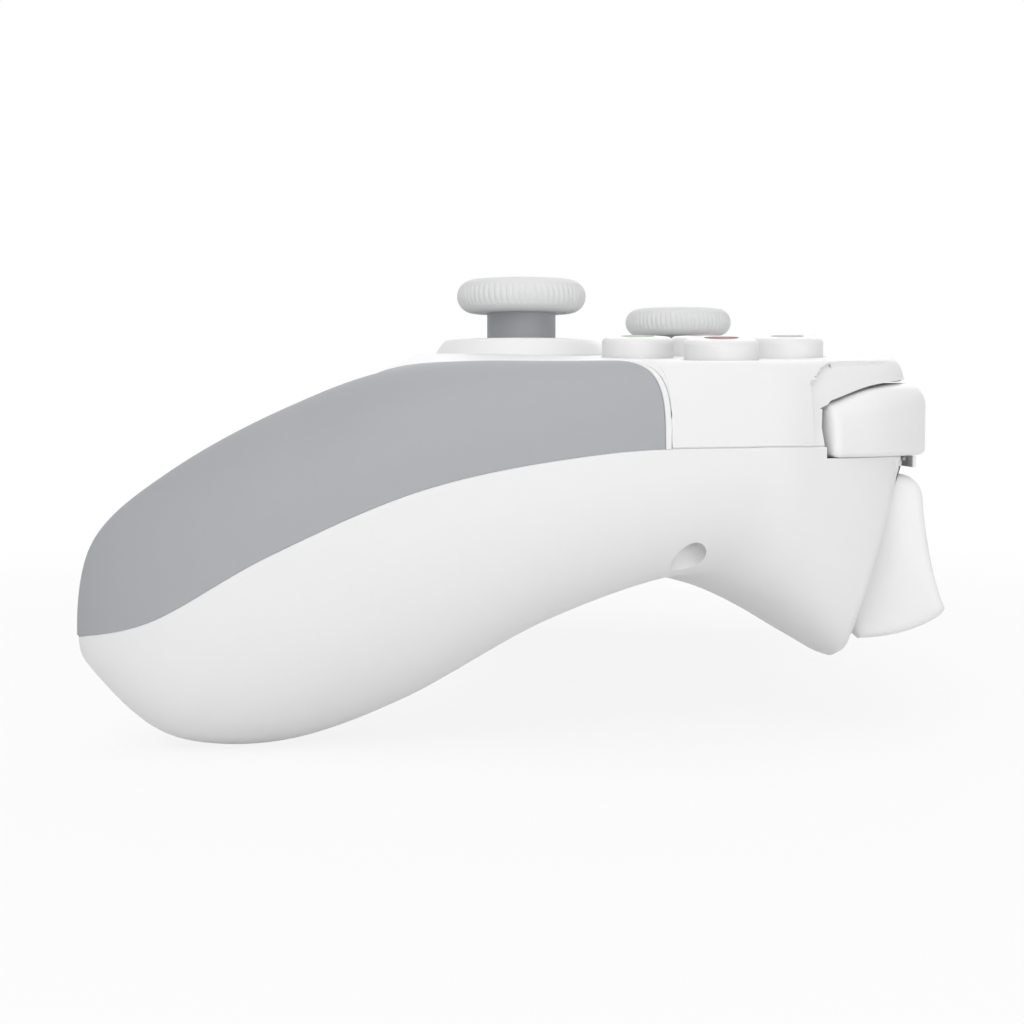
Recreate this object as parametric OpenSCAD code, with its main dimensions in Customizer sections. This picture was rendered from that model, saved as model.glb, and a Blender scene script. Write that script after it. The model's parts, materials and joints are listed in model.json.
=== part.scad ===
// Gamepad controller
// Millimetres, X to the player's right, Y forward to the triggers, Z up from the undersides of the grips

/* [Case] */
// Width across the two grips
case_w = 155; // [152:1:162]
// Depth from the grip ends to the trigger lips
case_d = 107; // [106:0.5:109]
// Height of the face at the centre line
face_z = 48.9; // [48.5:0.25:50]
// Height of the seam along the sides of the case
seam_z = 36.4; // [36:0.1:37]
// Height of the underside at the middle of the case
belly_z = 19.9; // [19:0.25:20.5]
// Thickness of the moulded walls
wall = 2.2; // [1.8:0.1:2.4]
// How far the face falls away two thirds of the way to its sides
face_fall = 1.75; // [1.25:0.25:2]
// Depth of the flat pad for a label below the belly
pad_drop = 0.6; // [0.4:0.1:1.2]

/* [Sticks] */
// Right stick position to the right of the centre line
stick_x = 19.5; // [18:0.5:22]
// Right stick position forward of the middle of the case
stick_y = 0.5; // [-1:0.5:2]
// Left stick position to the left of the centre line
far_stick_x = 38; // [36:0.5:40]
// Left stick position forward of the middle of the case
far_stick_y = 28.6; // [27:0.2:30]
// Diameter of a stick cap
cap_d = 18.6; // [17:0.2:19.4]
// Thickness of a stick cap
cap_t = 4.8; // [4:0.1:6]
// Diameter of the neck below a cap
neck_d = 9.9; // [8:0.1:10.5]
// Length of bare neck between the collar and the cap
neck_gap = 3.9; // [3:0.1:4.5]
// Outer diameter of a collar at the face
collar_d = 25.2; // [24:0.2:27]
// Outer diameter of a collar at its top
collar_top_d = 22; // [21.4:0.1:22.6]
// Width of the flat rim on top of a collar
rim_w = 1.3; // [1.1:0.1:1.5]
// Height of the right stick's pivot above the board
pivot_h = 6.8; // [6.4:0.1:7.4]
// How much lower the left stick stands than the right one
far_drop = 1; // [0.5:0.1:1.2]
// Radius of the stick's pivot pins
gimbal_pin_r = 0.9; // [0.7:0.05:1.1]

/* [Buttons] */
// Middle of the four face buttons, right of the centre line
diamond_x = 38.5; // [37:0.5:40]
// Middle of the four face buttons, forward of the middle
diamond_y = 26; // [25:0.5:27]
// Distance of each face button from their middle
diamond_r = 10; // [9.6:0.1:11]
// Diameter of a face button
button_d = 10.4; // [9.4:0.1:11]
// Height of the face buttons above the face
button_rise = 3; // [2:0.1:3.2]
// Width of an arm of the direction pad
pad_arm = 7.6; // [6.6:0.2:8.6]
// Length of the direction pad across two arms
pad_len = 22.4; // [21:0.2:23.4]
// Height of the direction pad above the face
pad_rise = 2.4; // [1.8:0.1:3]
// Diameter of the round middle button
home_d = 11; // [9:0.5:12]
// Length of the small oval buttons
oval_len = 8; // [7:0.5:9]
// Width of the small oval buttons
oval_w = 4.4; // [3.6:0.2:5]
// Height of the small buttons above the face
oval_rise = 1.1; // [0.8:0.1:1.6]
// Clearance round each button
button_gap = 0.25; // [0.2:0.05:0.35]

/* [Shoulders] */
// Inner side of a trigger, from the centre line
trigger_x0 = 33; // [32:0.5:34]
// Outer side of a trigger, from the centre line
trigger_x1 = 56.4; // [55:0.2:57]
// Height of the trigger's pin
trigger_pin_z = 30.4; // [30:0.1:31]
// Trigger's pin forward of the middle of the case
trigger_pin_y = 45.8; // [45.4:0.1:46.2]
// Radius of the trigger's pin
trigger_pin_r = 1.2; // [1:0.05:1.4]
// Thickness of the trigger's walls
trigger_wall = 2; // [1.6:0.1:2.2]
// Height of the lip at the trigger's end
lip_z = 15.6; // [15:0.2:17]
// Height of a bumper's underside
bumper_z = 35.1; // [34.9:0.1:35.4]
// Inner end of a bumper, from the centre line
bumper_x = 14.4; // [14.2:0.2:16]
// Clearance round a bumper
bumper_gap = 0.35; // [0.3:0.05:0.5]
// Radius of a bumper's upright pin
bumper_pin_r = 1; // [0.8:0.05:1.2]
// Running clearance of every pin
pin_gap = 0.05; // [0.02:0.01:0.08]

/* [Inside] */
// Height of the board's upper face
board_z = 34.8; // [34.6:0.1:34.9]
// Thickness of the board
board_t = 1.6; // [1:0.2:2]
// Length of the cell across the case
cell_l = 40; // [34:1:44]
// Depth of the cell front to back
cell_w = 24; // [20:1:25]
// Thickness of the cell
cell_t = 6.6; // [5:0.2:7]
// Radius of a rumble motor's can
motor_r = 10; // [8.5:0.25:10.5]
// Length of a rumble motor's can
motor_l = 12; // [10:0.5:13]
// Radius of a rumble motor's weight
weight_r = 8.5; // [7:0.25:9]
// Radius of the case screws
screw_r = 1; // [0.8:0.05:1.2]
// Radius of the recess of a case screw
recess_r = 2.1; // [1.9:0.1:2.4]
// Radius of the board screws
small_screw_r = 0.85; // [0.7:0.05:1]

/* [Hidden] */
$fn = 48;
half_w = case_w / 2;
back_y = -case_d / 2;
lip_y = case_d / 2;
// How far the pieces at the front, at the sides and on the face follow the case's depth and width
front_shift = lip_y - 53.5;
side_shift = half_w - 77.5;
face_shift = side_shift / 2;
waist = half_w - 53.5;
mouth_d = collar_top_d - 2 * rim_w;
far_x = far_stick_x + face_shift;
far_y = far_stick_y + front_shift;
diamond_mid = [diamond_x + face_shift, diamond_y + front_shift];
face_r = pow(half_w * 20 / 31, 2) / (2 * face_fall);
function face_at(x) = face_z - x * x / (2 * face_r);
function under_at(x) = face_at(x) - wall;

// Rows along the case from a grip end to the centre line: inner and outer plan points, seam heights,
// top heights, bottom heights, and corner lengths of the top and of the bottom, each inside then outside
rows = [
    [half_w - 16.3, back_y, half_w - 16.3, back_y, 13.8, 13.8, 13.8, 13.8, 13.8, 13.8, 0, 0, 0, 0],
    [half_w - 23, back_y + 2, half_w - 9.6, back_y + 2,
     14, 14, 25.1, 25.1, 9.2, 9.2, 6.2, 6, 6.3, 6.1],
    [half_w - 29.6, back_y + 11.5, half_w - 3.6, back_y + 11.5,
     17.4, 16.6, 33.5, 33.5, 1.3, 1.3, 12, 12, 11.7, 11.7],
    [half_w - 37.2, back_y + 24.5, half_w - 0.5, back_y + 25.5,
     21.9, 24.4, 40.7, 41, 0.9, 0.35, 17.5, 18, 17, 18],
    [half_w - 45, -20.5, half_w - 0.1, -10,
     27.4, 32, face_z - 3, face_z - 2.9, 9, 5.4, 14, 14, 18, 20],
    [waist, -16.6, half_w - 1.9, 10,
     31.4, seam_z - 0.6, face_z - 0.6, face_z - 2.4, 17.4, 14.7, 5.5, 8, 14, 20],
    [0.721 * waist, -15, half_w - 5.8, 27 + front_shift,
     32.9, seam_z, face_z - 0.3, face_z - 2.4, belly_z - 0.1, 20.4, 4.5, 5, 12, 15.8],
    [0.604 * waist, -14.7, half_w - 9.2, 34.7 + front_shift,
     33.2, seam_z, face_z - 0.2, face_z - 2.3, belly_z, 18.1, 4.5, 4.5, 12, 11.8],
    [0.479 * waist, -14.4, half_w - 18.5, 46 + front_shift,
     33.4, seam_z, face_z - 0.15, face_z - 1.9, belly_z, 9.5, 4.5, 3.4, 12, 7.4],
    [0.367 * waist, -14.2, half_w - 31.5, 50.4 + front_shift,
     33.6, seam_z, face_z - 0.05, face_z - 1.2, belly_z, 9.8, 4.5, 3.4, 12, 7],
    [0.196 * waist, -14.1, half_w - 50.5, 51.4 + front_shift,
     33.8, seam_z, face_z, face_z - 0.4, belly_z, 15, 4.5, 3.4, 12, 8],
    [0, -14, 0, 51.8 + front_shift,
     33.9, seam_z, face_z, face_z, belly_z, 25, 4.5, 3.4, 12, 12]
];
last = len(rows) - 1;

// One row drawn in by d all round
function inner_row(r, d, k) =
    let(s = k == 0 ? 0 : k == 1 ? 0.72 : 1,
        e = k == 0 ? 1 : k == 1 ? 0.6 : k == 2 ? 0.25 : 0,
        a = [r[0], r[1]],
        b = [r[2], r[3]],
        v = (b - a) / max(norm(b - a), 0.001) * d * s)
    [r[0] + v[0], r[1] + v[1] + d * e, r[2] - v[0], r[3] - v[1] + d * e, r[4], r[5],
     r[6] - d * s, r[7] - d * s, r[8] + d * s, r[9] + d * s,
     max(r[10] - d * s, 0), max(r[11] - d * s, 0), max(r[12] - d * s, 0), max(r[13] - d * s, 0)];
function turned(r) =
    [r[2], r[3], r[0], r[1], r[4], r[5], r[8], r[9], r[6], r[7], -r[10], -r[11], -r[12], -r[13]];
function flipped(r) =
    [-r[0], r[1], -r[2], r[3], r[4], r[5], r[6], r[7], r[8], r[9], r[10], r[11], r[12], r[13]];
function key(k, d) =
    k < 0 ? turned(inner_row(rows[1], d, 1)) :
    k > last ? flipped(inner_row(rows[last - 1], d, last - 1)) : inner_row(rows[k], d, k);
function blend(a, b, c, e, t) =
    0.5 * (2 * b + (c - a) * t + (2 * a - 5 * b + 4 * c - e) * t * t + (3 * b - a - 3 * c + e) * t * t * t);
function row_at(u, d) =
    let(k = min(floor(u), last - 1))
    blend(key(k - 1, d), key(k, d), key(k + 1, d), key(k + 2, d), u - k);
function clamp(t) = min(max(t, 0), 1);
function ease(t) = t * t * (3 - 2 * t);

// A point of the skin: u along the case, q from the outer seam (0) over the form to the inner one (3)
function skin(u, q, top, d) =
    let(r = row_at(u, d),
        a = [r[0], r[1]],
        b = [r[2], r[3]],
        len_ab = max(norm(b - a), 0.001),
        v = (b - a) / len_ab,
        n = 2 / (top ? 2.2 + ease(clamp((u - 3) / 3)) : 2.15 + 0.9 * ease(clamp((u - 6) / 1.6))),
        m_in = top ? r[6] : r[8],
        m_out = top ? r[7] : r[9],
        c_in = top ? r[10] : r[12],
        c_out = top ? r[11] : r[13],
        f = q <= 1 ? 90 * q : 90 * (3 - q),
        cs = pow(max(cos(f), 0), n),
        sn = pow(max(sin(f), 0), n),
        g = ease(clamp((q - 1) / (top ? 1 : 0.36))),
        t = q <= 1 ? c_out * (1 - cs) :
            q < 2 ? c_out + (q - 1) * (len_ab - c_out - c_in) : len_ab - c_in * (1 - cs),
        z = q <= 1 ? r[5] + (m_out - r[5]) * sn :
            q < 2 ? m_out + (m_in - m_out) * g : r[4] + (m_in - r[4]) * sn,
        p = b - v * t)
    [p[0], p[1], z];

// A closed solid between two rings of points that follow each other in a list
module rings(list, w) {
    n = len(list) / w;
    sides = [for (i = [0:n - 2]) for (j = [0:w - 1])
        let(k = (j + 1) % w)
        each [[i * w + j, i * w + k, (i + 1) * w + k], [i * w + j, (i + 1) * w + k, (i + 1) * w + j]]];
    polyhedron(points = list, faces = concat(sides, [[for (j = [w - 1:-1:0]) j]],
        [[for (j = [0:w - 1]) (n - 1) * w + j]]), convexity = 10);
}

// A skin over a list of stations [u, side], between limits [q0, q1] at each station and depths d0 and d1
module sheet(stations, limits, top, steps, d0, d1) {
    n = len(stations);
    w = steps + 1;
    h = n * w;
    pts = [for (d = [d0, d1]) for (i = [0:n - 1]) for (j = [0:steps])
        let(p = skin(stations[i][0], limits[i][0] + (limits[i][1] - limits[i][0]) * j / steps, top, d))
        [p[0] * stations[i][1], p[1], p[2]]];
    quads = concat(
        [for (i = [0:n - 2]) for (j = [0:steps - 1])
            [i * w + j, i * w + j + 1, (i + 1) * w + j + 1, (i + 1) * w + j, i]],
        [for (i = [0:n - 2]) for (j = [0:steps - 1])
            [h + i * w + j, h + (i + 1) * w + j, h + (i + 1) * w + j + 1, h + i * w + j + 1, i]],
        [for (i = [0:n - 2]) [i * w, (i + 1) * w, h + (i + 1) * w, h + i * w, i]],
        [for (i = [0:n - 2]) let(e = i * w + steps) [e, h + e, h + e + w, e + w, i]],
        [for (j = [0:steps - 1]) [j, h + j, h + j + 1, j + 1, 0]],
        [for (j = [0:steps - 1]) let(o = (n - 1) * w) [o + j, o + j + 1, h + o + j + 1, h + o + j, n - 2]]);
    // The split of each face is the same on both sides of the case
    tris = [for (f = quads) each stations[f[4] + 1][1] > 0 ?
        [[f[0], f[1], f[2]], [f[0], f[2], f[3]]] : [[f[0], f[1], f[3]], [f[1], f[2], f[3]]]];
    polyhedron(points = pts, faces = top ? tris : [for (t = tris) [t[2], t[1], t[0]]], convexity = 10);
}
function both_sides(us) = concat([for (u = us) [u, 1]], [for (i = [len(us) - 2:-1:0]) [us[i], -1]]);

// Where the grip panel ends across the handle, as q over the station u
grip_from = 3.35;
grip_to = 4.55;
grip_q = 1.2;
grip_end = 5.355;
grip_round = 0.455;
grip_power = 2.4;
function corner(t) = pow(1 - pow(clamp(t), grip_power), 1 / grip_power);
function grip_limit(u) =
    u < grip_end - grip_round ?
        grip_q + (3 - grip_q) * (1 - ease(clamp((u - grip_from) / (grip_to - grip_from)))) :
    u < grip_end ? grip_q * corner((u - grip_end + grip_round) / grip_round) : 0;

// Stations along the case that every skin shares
handle_us = [0.04, 0.25, 0.5, 0.75, 1, 1.3, 1.6, 2, 2.4, 2.8, 3.1];
panel_us = concat([grip_from + 0.02], [for (i = [1:10]) grip_from + i * 0.15],
    [for (a = [0:15:75]) grip_end - grip_round + grip_round * sin(a)], [grip_end - 0.003]);
body_us = concat([grip_end], [for (i = [1:21]) grip_end + i * (last - grip_end) / 21]);

// Everything outside the plane that touches the lower skin at u and q, set in by d
module outside(u, q, d) {
    p = skin(u, q, false, 0);
    a = cross_product(skin(u + 0.1, q, false, 0) - p, skin(u, q + 0.05, false, 0) - p);
    n = -a / norm(a);
    translate(p - n * d) rotate([0, acos(n[2]), atan2(n[1], n[0])]) translate([-15, -15, 0]) cube(30);
}
function cross_product(a, b) =
    [a[1] * b[2] - a[2] * b[1], a[2] * b[0] - a[0] * b[2], a[0] * b[1] - a[1] * b[0]];

// Both sides of the case
module pair() {
    children();
    mirror([1, 0, 0]) children();
}

// Shared shapes
module oval(l, w) {
    square([l - w, w], center = true);
    for (s = [-1, 1]) translate([s * (l - w) / 2, 0]) circle(d = w);
}
module cross(l, w) {
    square([l - w * 0.4, w], center = true);
    square([w, l - w * 0.4], center = true);
    for (a = [0:90:270]) rotate(a) translate([l / 2 - w * 0.2 - 0.01, 0]) intersection() {
        translate([0, -w / 2]) square([w * 0.2 + 0.01, w]);
        translate([-w * 0.85, 0]) circle(r = w * 1.05);
    }
}

// Moves what is drawn at the front of the case with its depth, and at its sides with its width
module forward() {
    translate([0, front_shift, 0]) children();
}
module outward() {
    translate([side_shift, 0, 0]) children();
}

// Bumper: outer and inner plan points and top height from the inner end to the outer end
bumper_rows = [
    [bumper_x, 53, bumper_x, 44.4, 44.2],
    [half_w - 53, 53.3, half_w - 53, 44.6, 44.2],
    [half_w - 41, 53.3, half_w - 42.5, 44.4, 44.1],
    [half_w - 31.5, 52.8, half_w - 35, 43.4, 44.1],
    [half_w - 22.5, 50.2, half_w - 27.5, 41, 43.9],
    [half_w - 15, 44.4, half_w - 21, 38, 42.9],
    [half_w - 10.2, 37.3, half_w - 17.2, 34, 39.2]
];
function bumper_key(k) =
    k < 0 ? 2 * bumper_rows[0] - bumper_rows[1] :
    k > 6 ? 2 * bumper_rows[6] - bumper_rows[5] : bumper_rows[k];
function bumper_row(u) =
    let(k = min(floor(u), 5))
    blend(bumper_key(k - 1), bumper_key(k), bumper_key(k + 1), bumper_key(k + 2), u - k);
// Sweep of the bumper, grown by g all round and by b to the rear
module bumper_sweep(g, b) {
    forward() rings([for (i = [0:18])
        let(r = bumper_row(i / 3),
            r2 = bumper_row(min(i / 3 + 0.05, 6)),
            r1 = bumper_row(max(i / 3 - 0.05, 0)),
            o = [r[0], r[1]],
            a = [r[2], r[3]],
            along = ([r2[0], r2[1]] - [r1[0], r1[1]]) / norm([r2[0], r2[1]] - [r1[0], r1[1]]),
            v = (a - o) / norm(a - o),
            end = i == 0 ? -g * along : i == 18 ? (b > 0 ? g + 0.8 : g) * along : [0, 0],
            depth = norm(a - o),
            zt = r[4] + g,
            zb = bumper_z - g)
        each [for (p = [[-g, zb + 1.8], [0.5 - g, zb + 0.5], [1.8 - g, zb], [depth + g + b, zb],
                        [depth + g + b, zt], [3.2 - g, zt], [1.4 - g, zt - 0.6], [0.4 - g, zt - 1.8]])
            let(c = o + v * p[0] + end) [c[0], c[1], p[1]]]], 8);
}

// Trigger side profile in Y and Z
function curve2(a, b, c, n) =
    [for (i = [0:n]) let(t = i / n) (1 - t) * (1 - t) * a + 2 * t * (1 - t) * b + t * t * c];
trigger_heel = [lip_y - 10.9, lip_z - 3.5];
trigger_top = [lip_y - 3.6, trigger_pin_z + 1.2];
trigger_front = curve2(trigger_top, [lip_y - 2.5, lip_z + 5.6], [lip_y, lip_z + 0.3], 8);
trigger_base = curve2([lip_y, lip_z - 0.2], [lip_y - 4, lip_z - 3.3], trigger_heel, 8);
trigger_hub = 2.8;
plan_round = 3.6;
trigger_pin = [trigger_pin_y + front_shift, trigger_pin_z];
// Clearance round a trigger in its opening, and the radius that its heel swings on
well_gap = 0.6;
swing_r = norm(trigger_heel - trigger_pin) + 0.3;
module trigger_side() {
    polygon(concat(trigger_front, trigger_base, [[lip_y - 12.1, lip_z - 2.2]],
        [for (a = [195:-15:60]) trigger_pin + trigger_hub * [cos(a), sin(a)]]));
}
module trigger_hollow() {
    polygon(concat([[trigger_top[0] - trigger_wall, 40]], [for (p = trigger_front) p - [trigger_wall, 0]],
        [for (p = trigger_base) if (p[0] < lip_y - trigger_wall - 0.5) p + [0, trigger_wall]],
        [[30, lip_z - 3.6 + trigger_wall], [30, 40]]));
}
module along_x(x0, x1) {
    translate([x0, 0, 0]) rotate([90, 0, 90]) linear_extrude(x1 - x0) children();
}
// Opening in the lower shell that the trigger swings in
module trigger_well() {
    outward() {
        along_x(trigger_x0 - well_gap, half_w)
            polygon([[lip_y - 5.1, bumper_z - 1.2], [lip_y - 5, seam_z + 2], [lip_y + 8.5, seam_z + 2],
                     [lip_y + 8.5, 2], [lip_y - 15.7, 2], [lip_y - 12.2, lip_z - 3.6]]);
        along_x(trigger_x0 - well_gap, trigger_x1 + well_gap)
            polygon(concat([for (a = [265:-7:237]) trigger_pin + swing_r * [cos(a), sin(a)]],
                [[lip_y - 19.1, board_z - board_t - 5], [lip_y - 11.5, bumper_z],
                 [lip_y - 3.5, bumper_z + 1], [lip_y - 3.5, lip_z - 3.6]]));
    }
}

// Screw places
side_screw = [half_w - 9.6, 20 + front_shift];
grip_screw = [half_w - 15, back_y + 13.5];
side_seat = 29.5;
grip_seat = 10;
grip_floor = skin(2.15, 0.9, false, 0.66 * wall)[2];
board_hole = [54 + face_shift, 18 + front_shift];
board_holes = [[35.5, -5], [-35.5, -5], board_hole, [-board_hole[0], board_hole[1]]];

// Upper shell: face, front and sides above the seam
module top_shell() {
    st = both_sides(concat(panel_us, body_us));
    color("white") difference() {
        union() {
            sheet(st, [for (s = st) [grip_limit(s[0]), 3]], true, 14, 0, wall);
            pair() translate([side_screw[0], side_screw[1], side_seat + 2.3])
                cylinder(r = 2.2, h = face_at(side_screw[0]) - side_seat - 4.1);
            for (p = board_holes) translate([p[0], p[1], board_z])
                cylinder(r = 2.6, h = face_at(p[0]) - 0.9 - board_z);
        }
        pair() bumper_sweep(bumper_gap, 1.7);
        for (s = [[stick_x, stick_y, 0], [-far_x, far_y, far_drop]]) {
            translate([s[0], s[1], collar_seat(s[0])]) cylinder(d = collar_d + 0.2, h = 20);
            translate([s[0], s[1], collar_seat(s[0]) - 9]) cylinder(d = collar_d - 4.4, h = 20);
        }
        for (p = diamond) translate([p[0], p[1], board_z + 4])
            cylinder(d = button_d + 2 * button_gap, h = 30);
        translate([-stick_x, stick_y, board_z + 4]) linear_extrude(30) cross(pad_len + 1.2, pad_arm + 1.2);
        translate([0, home_y, board_z + 4]) cylinder(d = home_d + 2 * button_gap, h = 30);
        for (p = ovals) translate([p[0], p[1], board_z + 4])
            linear_extrude(30) oval(oval_len + 2 * button_gap, oval_w + 2 * button_gap);
        translate([0, light_y, board_z + 4]) linear_extrude(30) oval(9.2, 2);
        usb_hole();
        forward() for (s = [-1, 1]) translate([s * 10 - 2.2, 46, 39.8]) cube([4.4, 10, 2]);
        pair() translate([side_screw[0], side_screw[1], side_seat]) cylinder(r = screw_r - 0.01, h = 14);
        for (p = board_holes) translate([p[0], p[1], board_z - 1]) cylinder(r = small_screw_r, h = 7);
    }
}

// Lower shell: undersides of the grips, belly and trigger housings
module bottom_shell() {
    st = both_sides(concat(handle_us, panel_us, body_us));
    color("white") difference() {
        union() {
            sheet(st, [for (s = st) [0, 3]], false, 14, 0, wall);
            pair() difference() {
                translate([side_screw[0], side_screw[1], 14])
                    cylinder(r = recess_r + 1.2, h = side_seat + 2 - 14);
                outside(6.05, 0.64, wall / 2);
                outside(6.05, 0.42, wall / 2);
            }
            pair() translate([grip_screw[0], grip_screw[1], grip_floor])
                cylinder(r = recess_r + 1.2, h = grip_seat + 2 - grip_floor);
            pair() translate([motor_x - 4, motor_y - 6, 6.2]) cube([8, 2.5, 7]);
            translate([-20, -3, belly_z - pad_drop]) cube([40, 18, pad_drop + 1.2]);
            for (y = [0, 13]) translate([-18, y, belly_z + 1]) cube([36, 2, wall - 0.3]);
        }
        pair() bumper_sweep(bumper_gap, 1.7);
        pair() trigger_well();
        pair() translate([side_screw[0], side_screw[1], 2]) cylinder(r = recess_r, h = side_seat - 2);
        pair() translate([side_screw[0], side_screw[1], 2]) cylinder(r = screw_r + 0.2, h = 40);
        pair() translate([grip_screw[0], grip_screw[1], -5]) cylinder(r = recess_r, h = grip_seat + 5);
        pair() translate([grip_screw[0], grip_screw[1], -5]) cylinder(r = screw_r + 0.2, h = 40);
        pair() motor_can(0.05);
        usb_hole();
    }
}

// Grip panel over the top of a handle
module right_grip() {
    st = [for (u = concat(handle_us, panel_us)) [u, 1]];
    color("gray") difference() {
        union() {
            sheet(st, [for (s = st) [0, grip_limit(s[0])]], true, 10, 0, wall);
            translate([grip_screw[0], grip_screw[1], grip_seat + 2.1]) cylinder(r = 2.8, h = 19.8);
        }
        translate([grip_screw[0], grip_screw[1], grip_seat]) cylinder(r = screw_r - 0.01, h = 14);
    }
}
module left_grip() {
    mirror([1, 0, 0]) right_grip();
}

// Plate between the bumpers with the charging opening
module front_bridge() {
    color("white") forward() difference() {
        union() {
            translate([0, 51.85, 0]) rotate([-90, 0, 0]) translate([0, -38.6, 0])
                linear_extrude(1.4) square([27.6, 11.6], center = true);
            for (s = [-1, 1]) translate([s * 10 - 2, 47.4, 40]) cube([4, 5, 1.6]);
        }
        usb_hole();
    }
}

// Bumpers
module right_bumper() {
    color("white") difference() {
        bumper_sweep(0, 0);
        translate([bumper_pin[0], bumper_pin[1], bumper_z - 2]) cylinder(r = bumper_pin_r + pin_gap, h = 8.2);
    }
}
module left_bumper() {
    mirror([1, 0, 0]) right_bumper();
}
bumper_pin = [bumper_x + 3, 47.2 + front_shift];
module bumper_pins() {
    color("silver") pair() translate([bumper_pin[0], bumper_pin[1], board_z])
        cylinder(r = bumper_pin_r, h = 6);
}

// Triggers
module right_trigger() {
    color("white") outward() difference() {
        intersection() {
            along_x(trigger_x0, trigger_x1) trigger_side();
            linear_extrude(60) union() {
                translate([trigger_x0, 0]) square([trigger_x1 - trigger_x0, lip_y - 3.3]);
                translate([trigger_x0, 0]) square([trigger_x1 - trigger_x0 - plan_round, lip_y + 0.5]);
                translate([trigger_x1 - plan_round, lip_y - 3.5]) circle(r = plan_round);
            }
        }
        along_x(trigger_x0 + trigger_wall, trigger_x1 - trigger_wall) {
            trigger_hollow();
            translate(trigger_pin) circle(r = trigger_hub - 0.05);
        }
        along_x(trigger_x0 + 0.6, trigger_x1 - 0.6)
            translate(trigger_pin) circle(r = trigger_pin_r + pin_gap);
    }
}
module left_trigger() {
    mirror([1, 0, 0]) right_trigger();
}
module right_trigger_pin() {
    color("silver") outward() along_x(trigger_x0 + 0.8, trigger_x1 - 0.8)
        translate(trigger_pin) circle(r = trigger_pin_r);
}
module left_trigger_pin() {
    mirror([1, 0, 0]) right_trigger_pin();
}
// Bracket under the board that holds the trigger's pin
module right_bracket() {
    x0 = trigger_x0 + trigger_wall + 0.4;
    x1 = trigger_x1 - trigger_wall - 0.4;
    color("dimgray") outward() difference() {
        union() {
            translate([x0, lip_y - 17.1, board_z - board_t - 3.2]) cube([x1 - x0, 4.2, 3.2]);
            for (x = [x0, x1 - 2.4]) along_x(x, x + 2.4) union() {
                translate(trigger_pin) circle(r = 2.4);
                polygon([[lip_y - 16.5, board_z - board_t - 3.2], trigger_pin - [0, 2.4],
                         trigger_pin + [0, 2.4], [lip_y - 12.9, board_z - board_t],
                         [lip_y - 16.5, board_z - board_t]]);
            }
        }
        along_x(x0 - 1, x1 + 1) translate(trigger_pin) circle(r = trigger_pin_r);
    }
}
module left_bracket() {
    mirror([1, 0, 0]) right_bracket();
}
// Coil round the trigger's pin
spring_wire_r = 0.4;
spring_turns = 6;
module right_trigger_spring() {
    pitch = 1.5;
    color("silver") outward() translate([(trigger_x0 + trigger_x1) / 2 - 4.5, trigger_pin[0], trigger_pin[1]])
        rotate([0, 90, 0]) rings([for (i = [0:8 * spring_turns]) let(a = i * 45, r = trigger_pin_r + 0.75)
            each [for (j = [0:5]) let(c = r + spring_wire_r * cos(j * 60))
                [c * cos(a), c * sin(a), i * pitch / 8 + spring_wire_r * sin(j * 60)]]], 6);
}
module left_trigger_spring() {
    mirror([1, 0, 0]) right_trigger_spring();
}

// Face buttons
diamond = [for (v = [[0, -1], [1, 0], [-1, 0], [0, 1]]) diamond_mid + diamond_r * v];
stem_z = board_z + 3.4;
module face_button(p) {
    top = face_at(p[0]) + button_rise;
    lean = atan(p[0] / face_r);
    color("white") translate([p[0], p[1], 0]) {
        intersection() {
            translate([0, 0, stem_z]) cylinder(d = button_d, h = top - stem_z + 2);
            translate([-34 * sin(lean), 0, top - 34 * cos(lean)]) sphere(r = 34, $fn = 96);
        }
        translate([0, 0, under_at(p[0]) - 2]) cylinder(d = button_d + 1.8, h = 1.3);
    }
}
module button_south() {
    face_button(diamond[0]);
}
module button_east() {
    face_button(diamond[1]);
}
module button_west() {
    face_button(diamond[2]);
}
module button_north() {
    face_button(diamond[3]);
}
module dome(p, top, r) {
    translate([p[0], p[1], board_z + 0.7]) cylinder(r1 = r, r2 = r * 0.62, h = top - board_z - 0.7);
}
module face_membrane() {
    color("silver") difference() {
        union() {
            translate([diamond_mid[0], diamond_mid[1], board_z]) linear_extrude(0.8) {
                for (p = diamond) translate(p - diamond_mid) circle(r = 5.6);
                square([2 * diamond_r, 6], center = true);
                square([6, 2 * diamond_r], center = true);
            }
            for (p = diamond) dome(p, stem_z, 4.4);
        }
        for (p = diamond) translate([p[0], p[1], board_z - 1]) cylinder(r = 2.2, h = 3);
    }
}

// Direction pad on its ball
ball_z = board_z + 8;
ball_r = 2.2;
pad_top = face_at(stick_x) + pad_rise;
module dpad() {
    color("white") translate([-stick_x, stick_y, 0]) difference() {
        union() {
            translate([0, 0, under_at(stick_x) - 2.6]) linear_extrude(pad_top - under_at(stick_x) + 2.6)
                cross(pad_len, pad_arm);
            translate([0, 0, under_at(stick_x) - 3.4]) cylinder(r = 12.4, h = 1.4);
            for (a = [0:90:270]) rotate(a) translate([8.4, 0, stem_z + 0.3])
                cylinder(r = 1.8, h = under_at(stick_x) - 3 - stem_z - 0.3);
        }
        translate([0, 0, ball_z]) sphere(r = ball_r + pin_gap);
        translate([0, 0, ball_z - 10]) cylinder(r = ball_r + pin_gap, h = 10);
        translate([0, 0, pad_top + 32 - 1.1]) sphere(r = 32, $fn = 96);
    }
}
module dpad_pivot() {
    color("dimgray") translate([-stick_x, stick_y, ball_z]) sphere(r = ball_r);
}
module dpad_post() {
    color("dimgray") translate([-stick_x, stick_y, board_z]) difference() {
        cylinder(r = 1.8, h = ball_z - board_z);
        translate([0, 0, ball_z - board_z]) sphere(r = ball_r + pin_gap);
    }
}
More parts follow.
